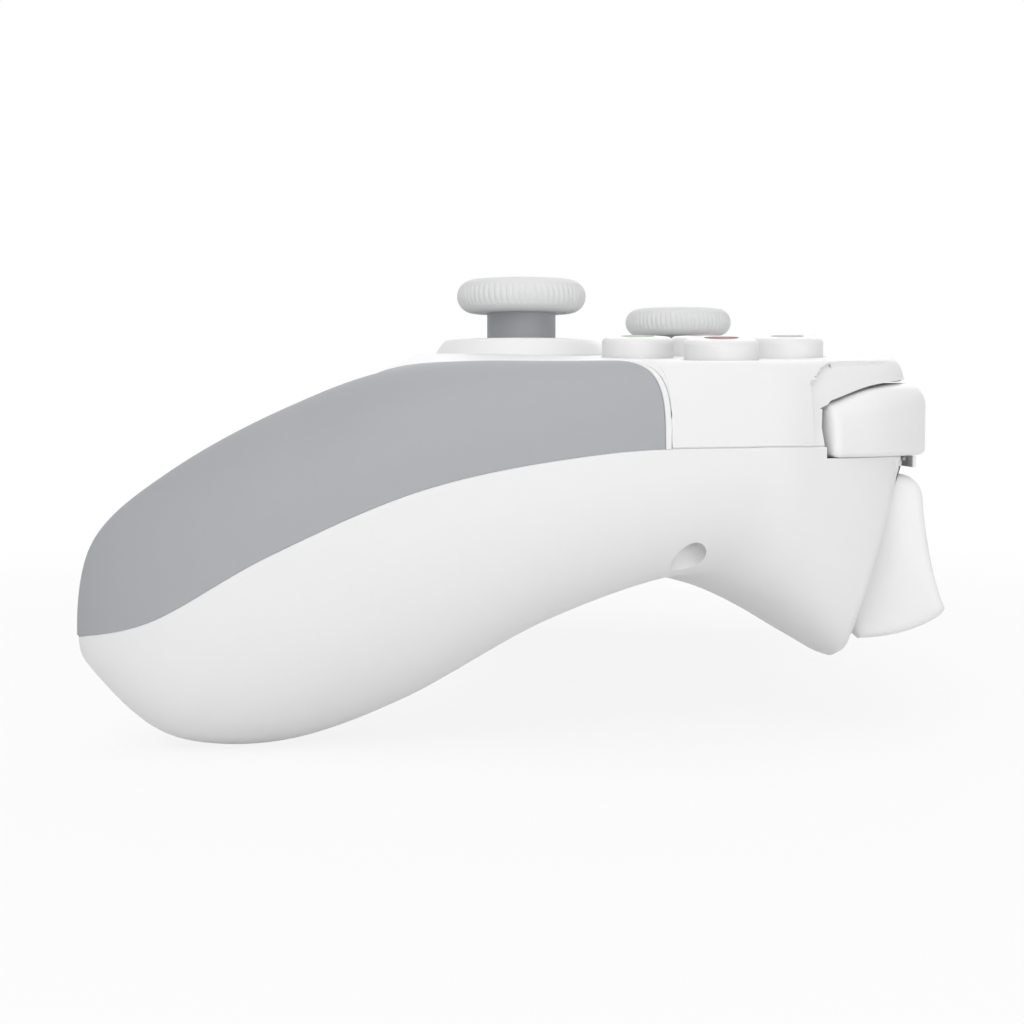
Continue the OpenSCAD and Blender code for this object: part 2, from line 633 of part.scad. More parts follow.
module dpad_membrane() {
    color("silver") difference() {
        union() {
            translate([-stick_x, stick_y, board_z]) linear_extrude(0.8) cross(26, 9);
            for (a = [0:90:270]) translate([-stick_x, stick_y, 0]) rotate(a)
                dome([8.4, 0], stem_z + 0.3, 3.4);
        }
        translate([-stick_x, stick_y, board_z - 1]) cylinder(r = 2.2, h = 10);
        for (a = [0:90:270]) translate([-stick_x, stick_y, board_z - 1]) rotate(a) translate([8.4, 0])
            cylinder(r = 1.6, h = 3);
    }
}

// Middle buttons and light
home_y = 37 + front_shift;
light_y = 9 + front_shift;
ovals = [[-11.5, home_y - 10], [11.5, home_y - 10], [0, home_y - 18.5]];
module oval_button(p) {
    color("white") translate([p[0], p[1], 0]) {
        translate([0, 0, stem_z]) linear_extrude(face_at(p[0]) + oval_rise - stem_z) oval(oval_len, oval_w);
        translate([0, 0, under_at(p[0]) - 1.6]) linear_extrude(1) oval(oval_len + 1.6, oval_w + 1.6);
    }
}
module select_button() {
    oval_button(ovals[0]);
}
module start_button() {
    oval_button(ovals[1]);
}
module capture_button() {
    oval_button(ovals[2]);
}
module home_button() {
    color("white") translate([0, home_y, 0]) {
        translate([0, 0, stem_z]) cylinder(d = home_d, h = face_z + oval_rise - stem_z);
        translate([0, 0, under_at(0) - 1.6]) cylinder(d = home_d + 1.6, h = 1);
    }
}
module menu_membrane() {
    spots = concat(ovals, [[0, home_y]]);
    color("silver") difference() {
        union() {
            translate([0, 0, board_z]) linear_extrude(0.8) {
                translate([-14, home_y - 13.4]) square([28, 6.8]);
                translate([-3.4, home_y - 21.6]) square([6.8, 25]);
            }
            for (p = spots) dome(p, stem_z, 2.6);
        }
        for (p = spots) translate([p[0], p[1], board_z - 1]) cylinder(r = 1.2, h = 3);
    }
}
module status_light() {
    color("lightcyan") translate([0, light_y, board_z]) {
        linear_extrude(face_z - board_z - 0.05) oval(9, 1.8);
        linear_extrude(1.2) square([10, 3], center = true);
    }
}

// Sticks
function pivot_at(drop) = board_z + pivot_h - drop;
function collar_seat(x) = face_at(abs(x) + collar_d / 2) - 0.6;
collar_up = 9.1;
module collar(x, y, drop) {
    top = pivot_at(drop) + collar_up;
    seat = collar_seat(x);
    foot = collar_d / 2 - 2.3;
    bore = mouth_d / 2 - 1.5;
    color("white") translate([x, y, 0]) rotate_extrude() polygon([
        [bore, seat - 1.2], [foot, seat - 1.2], [foot, seat], [collar_d / 2, seat],
        [collar_d / 2, face_at(x) + 0.15], [collar_top_d / 2 + 0.6, top - 0.6], [collar_top_d / 2, top],
        [mouth_d / 2 + 0.35, top], [mouth_d / 2 - 0.15, top - 0.5], [bore, seat - 1.05]]);
}
module cap(x, y, drop) {
    z = pivot_at(drop) + collar_up + neck_gap;
    r = cap_t / 2;
    color("gainsboro") translate([x, y, z]) difference() {
        union() {
            cylinder(d = cap_d - cap_t, h = cap_t);
            rotate_extrude($fn = 96) translate([cap_d / 2 - r, r]) intersection() {
                circle(r = r);
                translate([-0.5, -r]) square([r + 1, cap_t]);
            }
        }
        translate([0, 0, cap_t + 21 - 1.3]) sphere(r = 21, $fn = 96);
        translate([0, 0, -0.01]) cylinder(r = 2, h = 2.2);
    }
}
skirt_r = 9.2;
module post(x, y, drop) {
    z = pivot_at(drop);
    color("gray") translate([x, y, z]) {
        difference() {
            translate([0, 0, 5.4]) cylinder(d = neck_d, h = collar_up + neck_gap - 5.4);
            translate([0, 0, 5]) sphere(r = 3.4);
        }
        translate([0, 0, -3.4]) cylinder(r = 1.5, h = collar_up + neck_gap + 3.4 + 1.6);
        translate([0, 0, collar_up + neck_gap - 0.1]) cylinder(r = 2, h = 1.9);
        intersection() {
            difference() {
                sphere(r = skirt_r, $fn = 96);
                sphere(r = skirt_r - 1, $fn = 96);
            }
            translate([0, 0, 5.9]) cylinder(r = 12, h = 6);
        }
    }
}
module rocker(x, y, drop) {
    color("dimgray") translate([x, y, pivot_at(drop)]) difference() {
        union() {
            translate([-2.6, -2.6, -1.5]) cube([5.2, 5.2, 3]);
            rotate([90, 0, 0]) cylinder(r = gimbal_pin_r, h = 9, center = true);
        }
        cylinder(r = 1.5 + pin_gap, h = 20, center = true);
    }
}
module yoke(x, y, drop) {
    color("silver") translate([x, y, pivot_at(drop)]) difference() {
        union() {
            translate([-5.6, -4.6, -1.5]) cube([11.2, 9.2, 3]);
            for (s = [-1, 1]) translate([s * 6.9, 0, 0]) rotate([0, 90, 0])
                cylinder(r = gimbal_pin_r, h = 3.2, center = true);
        }
        translate([-3.5, -3.1, -3]) cube([7, 6.2, 6]);
        rotate([90, 0, 0]) cylinder(r = gimbal_pin_r + pin_gap, h = 20, center = true);
    }
}
module stick_box(x, y, drop) {
    z = pivot_at(drop);
    color("black") translate([x, y, 0]) difference() {
        translate([-8.5, -8.5, board_z]) cube([17, 17, z + 1.7 - board_z]);
        translate([-7.2, -7.2, board_z + 1]) cube([14.4, 14.4, 20]);
        translate([0, 0, z]) rotate([0, 90, 0]) cylinder(r = gimbal_pin_r + pin_gap, h = 30, center = true);
    }
}
module sensors(x, y, drop) {
    z = pivot_at(drop);
    color("green") translate([x, y, 0]) {
        translate([-5, 8.5, board_z]) cube([10, 2.6, z - board_z + 1]);
        translate([-11.1, -5, board_z]) cube([2.6, 10, z - board_z + 1]);
    }
}
module right_stick_collar() {
    collar(stick_x, stick_y, 0);
}
module left_stick_collar() {
    collar(-far_x, far_y, far_drop);
}
module right_stick_cap() {
    cap(stick_x, stick_y, 0);
}
module left_stick_cap() {
    cap(-far_x, far_y, far_drop);
}
module right_stick_post() {
    post(stick_x, stick_y, 0);
}
module left_stick_post() {
    post(-far_x, far_y, far_drop);
}
module right_stick_rocker() {
    rocker(stick_x, stick_y, 0);
}
module left_stick_rocker() {
    rocker(-far_x, far_y, far_drop);
}
module right_stick_yoke() {
    yoke(stick_x, stick_y, 0);
}
module left_stick_yoke() {
    yoke(-far_x, far_y, far_drop);
}
module right_stick_box() {
    stick_box(stick_x, stick_y, 0);
}
module left_stick_box() {
    stick_box(-far_x, far_y, far_drop);
}
module right_stick_sensors() {
    sensors(stick_x, stick_y, 0);
}
module left_stick_sensors() {
    sensors(-far_x, far_y, far_drop);
}

// Board, cell and socket
board_edge = concat([[38, -9], [58 + face_shift, 14]],
    [for (p = [[58 + face_shift, 34], [50 + face_shift, 41], [24, 42], [22, 49]])
        [p[0], p[1] + front_shift]]);
module main_board() {
    color("darkgreen") difference() {
        translate([0, 0, board_z - board_t]) linear_extrude(board_t)
            polygon(concat(board_edge,
                [for (i = [len(board_edge) - 1:-1:0]) [-board_edge[i][0], board_edge[i][1]]]));
        for (p = board_holes) translate([p[0], p[1], board_z - 5]) cylinder(r = small_screw_r + 0.2, h = 10);
    }
}
module battery() {
    color("lightgray") translate([-cell_l / 2, -4, belly_z + wall + 0.7]) cube([cell_l, cell_w, cell_t]);
}
usb_z = board_z + 1.65;
module usb_hole() {
    forward() translate([0, 40, usb_z]) rotate([-90, 0, 0]) linear_extrude(20) oval(9.6, 3.9);
}
module usb_socket() {
    color("silver") forward() {
        translate([0, 45.2, usb_z]) rotate([-90, 0, 0]) difference() {
            linear_extrude(7.2) oval(8.9, 3.3);
            translate([0, 0, 1]) linear_extrude(7) oval(8.3, 2.7);
        }
        translate([-3.3, 45.5, usb_z - 0.35]) cube([6.6, 5.4, 0.7]);
    }
}
switch_x = 46 + face_shift;
switch_y = lookup(switch_x, [for (r = bumper_rows) [r[2], r[3]]]) - 4.68;
module bumper_switches() {
    color("black") forward() pair() translate([switch_x, switch_y, board_z]) {
        translate([-1.6, 0, 0]) cube([4.6, 2.6, 4]);
        translate([0, 2.5, 2.2]) rotate([-90, 0, 0]) cylinder(r = 1.2, h = 1.1);
    }
}

// Rumble motors
motor_x = half_w - 17.5;
motor_y = back_y + 41.5;
motor_z = 20;
module motor_can(g) {
    translate([motor_x, motor_y, motor_z]) rotate([90, 0, 0]) cylinder(r = motor_r + g, h = motor_l);
}
module right_rumble_motor() {
    color("silver") difference() {
        motor_can(0);
        translate([motor_x, motor_y - motor_l + 4, motor_z]) rotate([90, 0, 0])
            cylinder(r = 1 + pin_gap, h = 10);
    }
}
module left_rumble_motor() {
    mirror([1, 0, 0]) right_rumble_motor();
}
module right_rumble_weight() {
    color("gray") translate([motor_x, motor_y - motor_l - 0.5, motor_z]) rotate([90, 0, 0]) {
        translate([0, 0, -4]) cylinder(r = 1, h = 10);
        linear_extrude(6) {
            circle(r = 2.6);
            difference() {
                circle(r = weight_r);
                translate([-20, 0]) square([40, 20]);
            }
        }
    }
}
module left_rumble_weight() {
    mirror([1, 0, 0]) right_rumble_weight();
}

// Fasteners
module case_screws() {
    color("silver") pair() {
        for (s = [[side_screw[0], side_screw[1], side_seat], [grip_screw[0], grip_screw[1], grip_seat]])
            translate(s) difference() {
                union() {
                    translate([0, 0, -1.6]) cylinder(r = 1.75, h = 1.6);
                    translate([0, 0, -0.1]) cylinder(r = screw_r - 0.02, h = 12);
                }
                translate([0, 0, -2]) linear_extrude(1.2) {
                    square([2.2, 0.5], center = true);
                    square([0.5, 2.2], center = true);
                }
            }
    }
}
module board_screws() {
    color("silver") for (p = board_holes) translate([p[0], p[1], board_z - board_t]) {
        translate([0, 0, -1.3]) cylinder(r = 1.7, h = 1.3);
        translate([0, 0, -0.1]) cylinder(r = small_screw_r - 0.02, h = 7);
    }
}

top_shell();
bottom_shell();
right_grip();
left_grip();
front_bridge();
right_bumper();
left_bumper();
bumper_pins();
right_trigger();
left_trigger();
right_trigger_pin();
left_trigger_pin();
right_trigger_spring();
left_trigger_spring();
right_bracket();
left_bracket();
button_south();
button_east();
button_west();
button_north();
face_membrane();
dpad();
dpad_pivot();
dpad_post();
dpad_membrane();
home_button();
select_button();
start_button();
capture_button();
menu_membrane();
status_light();
right_stick_collar();
left_stick_collar();
right_stick_cap();
left_stick_cap();
right_stick_post();
left_stick_post();
right_stick_rocker();
left_stick_rocker();
right_stick_yoke();
left_stick_yoke();
right_stick_box();
left_stick_box();
right_stick_sensors();
left_stick_sensors();
main_board();
battery();
usb_socket();
bumper_switches();
right_rumble_motor();
left_rumble_motor();
right_rumble_weight();
left_rumble_weight();
case_screws();
board_screws();
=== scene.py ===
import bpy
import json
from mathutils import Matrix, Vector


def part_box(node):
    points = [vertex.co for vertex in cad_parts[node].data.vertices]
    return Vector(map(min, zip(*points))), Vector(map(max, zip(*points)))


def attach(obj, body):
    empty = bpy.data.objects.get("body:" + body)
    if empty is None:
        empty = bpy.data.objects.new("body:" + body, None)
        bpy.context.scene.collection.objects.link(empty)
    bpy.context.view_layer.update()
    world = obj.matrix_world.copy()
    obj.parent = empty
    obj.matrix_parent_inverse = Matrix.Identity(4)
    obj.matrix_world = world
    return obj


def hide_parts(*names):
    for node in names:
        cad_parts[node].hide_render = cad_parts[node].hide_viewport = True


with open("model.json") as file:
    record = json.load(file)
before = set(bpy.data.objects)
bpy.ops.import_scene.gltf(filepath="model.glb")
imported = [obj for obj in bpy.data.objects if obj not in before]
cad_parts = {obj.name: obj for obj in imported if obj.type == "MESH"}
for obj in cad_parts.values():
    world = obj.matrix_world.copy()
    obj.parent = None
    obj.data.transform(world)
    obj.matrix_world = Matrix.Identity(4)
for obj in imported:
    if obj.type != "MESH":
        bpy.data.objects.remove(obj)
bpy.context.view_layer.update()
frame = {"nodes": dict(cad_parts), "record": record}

import json
import math

import bmesh
import bpy
from mathutils import Matrix, Vector
from mathutils.bvhtree import BVHTree

bl_info = {
    "name": "Gamepad controller",
    "version": (1, 0, 0),
    "blender": (4, 5, 0),
    "location": "View3D > Sidebar > Gamepad",
    "description": "Dresses a packed gamepad with moulded shells, grips, keys, sticks and finishes",
    "category": "Object",
}

# Meshes are drawn in millimetres and scaled to metres when a piece is finished
MM = 0.001

# Angle in degrees over which an edge of a moulded piece stays sharp
MOULDED = 35
# Length and width of straight-sided ovals: the charging port, the small buttons and the light
PORT_OVAL, MENU_OVAL, LIGHT_OVAL = (9.6, 3.9), (8, 4.4), (8.8, 1.6)
MENU_NODES = ("select_button", "start_button", "capture_button")
FACE_WAYS = ("south", "east", "west", "north")
SIDES = ("right", "left")
HOME_RADIUS = 5.5
# Distance from the direction pad's middle to the stub under each arm
STUB_REACH = 8.4
# Height of a stick collar's foot and how far its flange reaches beyond it
COLLAR_FOOT, COLLAR_FLANGE = 1.2, 2.3
# Height of a stick's pivot above the foot of its post
PIVOT_RISE = 3.4

RECORD = frame["record"]
SLOT_OF = {part["node"]: part["material_slot"] for part in RECORD["subparts"]}
BODY_OF = {node: body for body, nodes in RECORD["behaviour"]["bodies"].items() for node in nodes}


def low_high(node):
    """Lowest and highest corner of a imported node, in millimetres."""
    low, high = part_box(node)
    return Vector(low) / MM, Vector(high) / MM


def middle(node):
    """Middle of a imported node's box, in millimetres."""
    low, high = low_high(node)
    return (low + high) / 2


def plan_of(node):
    """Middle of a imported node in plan, at height 0."""
    spot = middle(node)
    return Vector((spot.x, spot.y, 0))


# Sizes and colours


def length(name, text, value):
    """A length property given in millimetres."""
    return bpy.props.FloatProperty(
        name=name, description=text, default=value * MM, min=0.0, unit="LENGTH", precision=5
    )


def colour(name, text, value):
    """A linear colour property."""
    return bpy.props.FloatVectorProperty(
        name=name, description=text, default=value, size=3, min=0.0, max=1.0, subtype="COLOR"
    )


class GamepadCase(bpy.types.PropertyGroup):
    """Sizes of the moulded case."""

    width: length("Width", "Width across the two grips", 155)
    depth: length("Depth", "Depth from the grip ends to the trigger lips", 107)
    face_height: length("Face height", "Height of the face at the centre line", 48.9)
    seam_height: length("Seam height", "Height of the seam along the sides", 36.4)
    belly_height: length("Belly height", "Height of the underside at the middle", 19.9)
    wall: length("Wall", "Thickness of the moulded walls", 2.0)
    groove: length("Groove", "Width of the fold along each side of a seam", 0.2)
    rim_width: length("Rim width", "Width of the white rim in front of a grip", 0.8)
    step_depth: length("Step depth", "How far the front of the top is set in above a bumper", 0.9)
    housing_round: length("Housing round", "Width of the trigger housing's slanted front edge", 1.3)


class GamepadSticks(bpy.types.PropertyGroup):
    """Sizes of the thumb sticks."""

    knurl_depth: length("Knurl depth", "Depth of the grooves round a cap", 0.16)
    knurl_count: bpy.props.IntProperty(
        name="Knurl count", description="Grooves round a cap", default=64, min=12
    )
    dish: length("Dish", "Depth of the dished top of a cap", 0.9)


class GamepadKeys(bpy.types.PropertyGroup):
    """Sizes of the buttons and of the direction pad."""

    button_diameter: length("Button diameter", "Diameter of a face button", 9.6)
    button_round: length("Button round", "Rounding of a face button's upper edge", 0.9)
    dot_diameter: length("Dot diameter", "Diameter of the coloured dot on a face button", 4.7)
    pad_dish: length("Pad dish", "Depth of the dish in the direction pad", 1.0)
    gap: length("Gap", "Clearance round a button", 0.25)


class GamepadShoulders(bpy.types.PropertyGroup):
    """Sizes of the bumpers and triggers."""

    bumper_gap: length("Bumper gap", "Clearance round a bumper", 0.4)
    bumper_round: length("Bumper round", "Rounding of a bumper's upper front edge", 2.8)
    trigger_round: length("Trigger round", "Rounding of a trigger's side edges", 1.25)
    trigger_wall: length("Trigger wall", "Thickness of a trigger's walls", 2.0)
    wire_diameter: length("Wire diameter", "Diameter of a trigger spring's wire", 0.8)


class GamepadColours(bpy.types.PropertyGroup):
    """Colours of the finishes."""

    shell: colour("Shell", "White of the moulded case", (0.84, 0.84, 0.84))
    grip: colour("Grip", "Grey of the soft grips", (0.405, 0.415, 0.438))
    key: colour("Key", "White of the keys", (0.86, 0.86, 0.86))
    cap: colour("Cap", "Pale grey of the stick caps", (0.75, 0.755, 0.755))
    neck: colour("Neck", "Grey of the stick necks", (0.37, 0.38, 0.395))
    dark: colour("Dark plastic", "Black of the inner plastic", (0.03, 0.03, 0.033))
    steel: colour("Steel", "Steel of screws, pins and springs", (0.58, 0.58, 0.59))
    silicone: colour("Silicone", "Grey of the rubber domes", (0.55, 0.57, 0.58))
    board: colour("Board", "Green of the board", (0.015, 0.11, 0.045))
    foil: colour("Foil", "Foil round the cell", (0.55, 0.56, 0.58))
    light: colour("Light", "Milky light guide", (0.72, 0.80, 0.80))
    east_dot: colour("East dot", "Dot on the outer button", (0.42, 0.26, 0.26))
    south_dot: colour("South dot", "Dot on the near button", (0.55, 0.66, 0.57))
    west_dot: colour("West dot", "Dot on the inner button", (0.70, 0.55, 0.60))
    north_dot: colour("North dot", "Dot on the front button", (0.60, 0.60, 0.61))
    floor: colour("Floor", "Pale floor", (0.86, 0.86, 0.86))


# Form of the case, the same loft that the solids have


def clamp(value):
    return min(max(value, 0.0), 1.0)


def ease(value):
    return value * value * (3 - 2 * value)


def rising(value, start, span):
    """Goes smoothly from 0 at start to 1 a span later."""
    return ease(clamp((value - start) / span))


def curve_through(before, here, after, beyond, t):
    """Smooth curve between two rows, with their neighbours for its slopes."""
    return [
        0.5 * (2 * b + (c - a) * t + (2 * a - 5 * b + 4 * c - e) * t * t + (3 * b - a - 3 * c + e) * t**3)
        for a, b, c, e in zip(before, here, after, beyond)
    ]


class CaseForm:
    """Skin of the case.

    u runs from a grip's end to the centre line, and q from the outer seam to the inner one. A row holds the
    inner and outer plan points, then five inner and outer pairs: heights of the seam, the top and the belly,
    and reach of the top's and the belly's corners.
    """

    GRIP_FROM, GRIP_TO, GRIP_Q = 3.35, 4.55, 1.2
    GRIP_END, GRIP_ROUND, GRIP_POWER = 5.355, 0.455, 2.4
    # Millimetres to a station at the front of a grip
    GRIP_STATION = 17.0

    def __init__(self, sizes):
        h = sizes.width / MM / 2
        back = -sizes.depth / MM / 2
        face = sizes.face_height / MM
        seam = sizes.seam_height / MM
        belly = sizes.belly_height / MM
        waist = h - 53.5
        self.half_w = h
        self.seam = seam
        self.rows = [
            [h - 16.3, back, h - 16.3, back, 13.8, 13.8, 13.8, 13.8, 13.8, 13.8, 0, 0, 0, 0],
            [h - 23, back + 2, h - 9.6, back + 2, 14, 14, 25.1, 25.1, 9.2, 9.2, 6.2, 6, 6.3, 6.1],
            [
                h - 29.6, back + 11.5, h - 3.6, back + 11.5, 17.4, 16.6, 33.5, 33.5,
                1.3, 1.3, 12, 12, 11.7, 11.7,
            ],
            [h - 37.2, back + 24.5, h - 0.5, back + 25.5, 21.9, 24.4, 40.7, 41, 0.9, 0.35, 17.5, 18, 17, 18],
            [h - 45, -20.5, h - 0.1, -10, 27.4, 32, face - 3, face - 2.9, 9, 5.4, 14, 14, 18, 20],
            [waist, -16.6, h - 1.9, 10, 31.4, seam - 0.6, face - 0.6, face - 2.4, 17.4, 14.7, 5.5, 8, 14, 20],
            [
                0.721 * waist, -15, h - 5.8, 27, 32.9, seam, face - 0.3, face - 2.4,
                belly - 0.1, 20.4, 4.5, 5, 12, 15.8,
            ],
            [
                0.604 * waist, -14.7, h - 9.2, 34.7, 33.2, seam, face - 0.2, face - 2.3,
                belly, 18.1, 4.5, 4.5, 12, 11.8,
            ],
            [
                0.479 * waist, -14.4, h - 18.5, 46, 33.4, seam, face - 0.15, face - 1.9,
                belly, 9.5, 4.5, 3.4, 12, 7.4,
            ],
            [
                0.367 * waist, -14.2, h - 31.5, 50.4, 33.6, seam, face - 0.05, face - 1.2,
                belly, 9.8, 4.5, 3.4, 12, 7,
            ],
            [0.196 * waist, -14.1, h - 50.5, 51.4, 33.8, seam, face, face - 0.4, belly, 15, 4.5, 3.4, 12, 8],
            [0, -14, 0, 51.8, 33.9, seam, face, face, belly, 25, 4.5, 3.4, 12, 12],
        ]
        self.last = len(self.rows) - 1

    def key(self, k):
        if k < 0:
            r = self.rows[1]
            return [r[2], r[3], r[0], r[1], r[4], r[5], r[8], r[9], r[6], r[7]] + [-c for c in r[10:]]
        if k > self.last:
            r = self.rows[self.last - 1]
            return [-r[0], r[1], -r[2], r[3]] + r[4:]
        return self.rows[k]

    def row(self, u):
        k = min(int(math.floor(u)), self.last - 1)
        return curve_through(self.key(k - 1), self.key(k), self.key(k + 1), self.key(k + 2), u - k)

    def inside(self, u):
        """A point inside the case at a station."""
        r = self.row(u)
        return Vector(((r[0] + r[2]) / 2, (r[1] + r[3]) / 2, (r[4] + r[5]) / 2))

    def point(self, u, q, top):
        """Point of the upper or lower skin, in millimetres, on the right-hand side."""
        r = self.row(u)
        inner = Vector((r[0], r[1]))
        outer = Vector((r[2], r[3]))
        across = max((outer - inner).length, 0.001)
        way = (outer - inner) / across
        power = 2.2 + rising(u, 3, 3) if top else 2.15 + 0.9 * rising(u, 6, 1.6)
        n = 2 / power
        z_in, z_out, c_in, c_out = (r[6], r[7], r[10], r[11]) if top else (r[8], r[9], r[12], r[13])
        fit = min(1.0, 0.93 * across / max(c_in + c_out, 0.001))
        c_in, c_out = c_in * fit, c_out * fit
        angle = math.pi / 2 * (q if q <= 1 else 3 - q)
        cs = max(math.cos(angle), 0.0) ** n
        sn = max(math.sin(angle), 0.0) ** n
        if q <= 1:
            along, z = c_out * (1 - cs), r[5] + (z_out - r[5]) * sn
        elif q < 2:
            g = rising(q, 1, 1 if top else 0.36)
            along, z = c_out + (q - 1) * (across - c_out - c_in), z_out + (z_in - z_out) * g
        else:
            along, z = across - c_in * (1 - cs), r[4] + (z_in - r[4]) * sn
        spot = outer - way * along
        return Vector((spot.x, spot.y, z))

    def grip_limit(self, u, wider=0.0):
        """Where the grip's edge crosses a station, or the edge of the rim in front of it."""
        start = self.GRIP_END - self.GRIP_ROUND
        if u < start:
            fade = rising(u, self.GRIP_FROM, self.GRIP_TO - self.GRIP_FROM)
            return self.GRIP_Q + (3 - self.GRIP_Q) * (1 - fade)
        return self.GRIP_Q * self.corner((u - start) / (self.GRIP_ROUND + wider))

    def corner(self, reach):
        """The rounded corner at the front of a grip."""
        return (1 - clamp(reach) ** self.GRIP_POWER) ** (1 / self.GRIP_POWER)


# Mesh helpers


def move(bm, vec):
    """Shifts a mesh and gives it back."""
    bmesh.ops.translate(bm, vec=vec, verts=bm.verts)
    return bm


def swing(bm, matrix):
    """Turns a mesh about the origin and gives it back."""
    bmesh.ops.rotate(bm, cent=(0, 0, 0), matrix=matrix, verts=bm.verts)
    return bm


def normals_out(bm):
    bmesh.ops.recalc_face_normals(bm, faces=bm.faces)
    return bm


def all_of(bm):
    """Everything in a mesh."""
    return bm.verts[:] + bm.edges[:] + bm.faces[:]


def skin_at(tree, x, y, way):
    """Place and normal where an upright ray, from above (-1) or from below (1), first meets a skin."""
    start = Vector((x, y, 90 if way < 0 else -20))
    return tree.ray_cast(start, Vector((0, 0, way)))[:2]


def quarter_spots(reach):
    """Four places round an upright axis."""
    angles = [k * math.pi / 2 for k in range(4)]
    return [Vector((reach * math.cos(a), reach * math.sin(a), 0)) for a in angles]


def spaced(stops, counts):
    """Numbers from the first stop to the last, each span cut into its own count."""
    out = []
    for a, b, n in zip(stops, stops[1:], counts):
        out += [a + (b - a) * i / n for i in range(n)]
    return out + [stops[-1]]


def skin_grid(columns, steps, place, fold=0.0, inside=None):
    """A sheet whose columns are stations and whose rows run across, each vertex put where place(i, s) says.

    With a fold, both long edges are drawn in towards the point inside(i), so that two sheets that meet
    leave a fine groove.
    """
    bm = bmesh.new()
    last = len(columns) - 1
    made = bmesh.ops.create_grid(bm, x_segments=last, y_segments=steps, size=0.5)["verts"]
    grid = {(int(round((v.co.x + 0.5) * last)), int(round((v.co.y + 0.5) * steps))): v for v in made}
    for (i, j), v in grid.items():
        v.co = place(columns[i], j / steps)
    if fold > 0:
        for edge, near in ((0, 1), (steps, steps - 1)):
            rim = [grid[i, edge].co.copy() for i in range(last + 1)]
            for i, here in enumerate(rim):
                across = grid[i, near].co - here
                width = min(fold, across.length * 0.8)
                sink = across.cross(rim[min(i + 1, last)] - rim[max(i - 1, 0)])
                if sink.length < 1e-9 or width < fold * 0.2:
                    continue
                sink *= math.copysign(width / sink.length, sink.dot(inside(columns[i]) - here))
                grid[i, near].co = here + across.normalized() * width
                grid[i, edge].co = here + (sink if abs(here.x) > 1e-6 else Vector((0, sink.y, sink.z)))
    bmesh.ops.remove_doubles(bm, verts=bm.verts, dist=0.002)
    bmesh.ops.dissolve_degenerate(bm, edges=bm.edges, dist=0.001)
    return bm


def sleeve(rings):
    """A closed bar through rings of as many points each, with flat ends."""
    around = len(rings[0])
    bm = skin_grid(list(range(len(rings))), around, lambda i, s: rings[i][int(round(s * around)) % around])
    bmesh.ops.holes_fill(bm, edges=[e for e in bm.edges if e.is_boundary], sides=0)
    return normals_out(bm)


def face_out(bm, aim):
    """Turns the faces outwards: the face that lies farthest along aim looks along it."""
    normals_out(bm)
    aim = Vector(aim)
    far = max(bm.faces, key=lambda f: f.calc_center_median().dot(aim))
    if far.normal.dot(aim) < 0:
        bmesh.ops.reverse_faces(bm, faces=bm.faces)


def mirror_over(bm):
    """Adds the left half to a right half that meets the centre line."""
    bmesh.ops.mirror(bm, geom=all_of(bm), axis="X", merge_dist=0.002)
    bmesh.ops.remove_doubles(bm, verts=bm.verts, dist=0.002)


def flipped(bm):
    """The mirror image of a closed shape on the other side of the case."""
    bmesh.ops.scale(bm, vec=(-1, 1, 1), verts=bm.verts)
    bmesh.ops.reverse_faces(bm, faces=bm.faces)
    return bm


def rounded_path(corners, steps=6):
    """A closed path of (a, b, radius) corners, with each corner of some radius drawn as an arc."""
    out = []
    for i, (x, y, radius) in enumerate(corners):
        here = Vector((x, y))
        if radius <= 0:
            out.append(here)
            continue
        before = Vector(corners[i - 1][:2]) - here
        after = Vector(corners[(i + 1) % len(corners)][:2]) - here
        half = before.angle(after) / 2
        reach = min(radius / math.tan(half), before.length * 0.49, after.length * 0.49)
        p, r = here + before.normalized() * reach, here + after.normalized() * reach
        bulge = (before.normalized() + after.normalized()).normalized()
        centre = here + bulge * (reach / math.cos(half))
        size = (p - centre).length
        for k in range(steps + 1):
            mix = p.lerp(r, k / steps) - centre
            turn = mix.normalized() if mix.length > 1e-9 else -bulge
            out.append(centre + turn * size)
    return out


def spun(profile, steps=96, closed=False, at=(0, 0, 0)):
    """A turned shape from (radius, height) points about an upright axis."""
    bm = bmesh.new()
    verts = [bm.verts.new((p[0], 0, p[1])) for p in profile]
    edges = [bm.edges.new(pair) for pair in zip(verts, verts[1:])]
    if closed:
        edges.append(bm.edges.new((verts[-1], verts[0])))
    bmesh.ops.spin(
        bm, geom=verts + edges, cent=(0, 0, 0), axis=(0, 0, 1), angle=2 * math.pi, steps=steps, use_merge=True
    )
    bmesh.ops.remove_doubles(bm, verts=bm.verts, dist=0.001)
    return move(normals_out(bm), at)


def turned_solid(corners, steps=96, at=(0, 0, 0), arc=6):
    """A turned solid from corners (radius, height, rounding), closed along the axis."""
    path = rounded_path([(0, corners[0][1], 0)] + list(corners) + [(0, corners[-1][1], 0)], arc)
    return spun(path, steps, at=at)


def prism(outline, low, high):
    """A closed upright prism over an outline of (x, y) points."""
    bm = bmesh.new()
    base = bm.faces.new([bm.verts.new((p[0], p[1], low)) for p in outline])
    grown = bmesh.ops.extrude_face_region(bm, geom=[base])
    top = [v for v in grown["geom"] if isinstance(v, bmesh.types.BMVert)]
    bmesh.ops.translate(bm, vec=(0, 0, high - low), verts=top)
    return normals_out(bm)


def oval_outline(long, wide, arc=16):
    """A straight-sided oval."""
    half = (long - wide) / 2
    out = []
    for side in (1, -1):
        for k in range(arc + 1):
            a = math.pi * (k / arc - 0.5)
            out.append((side * (half + wide / 2 * math.cos(a)), side * wide / 2 * math.sin(a)))
    return out


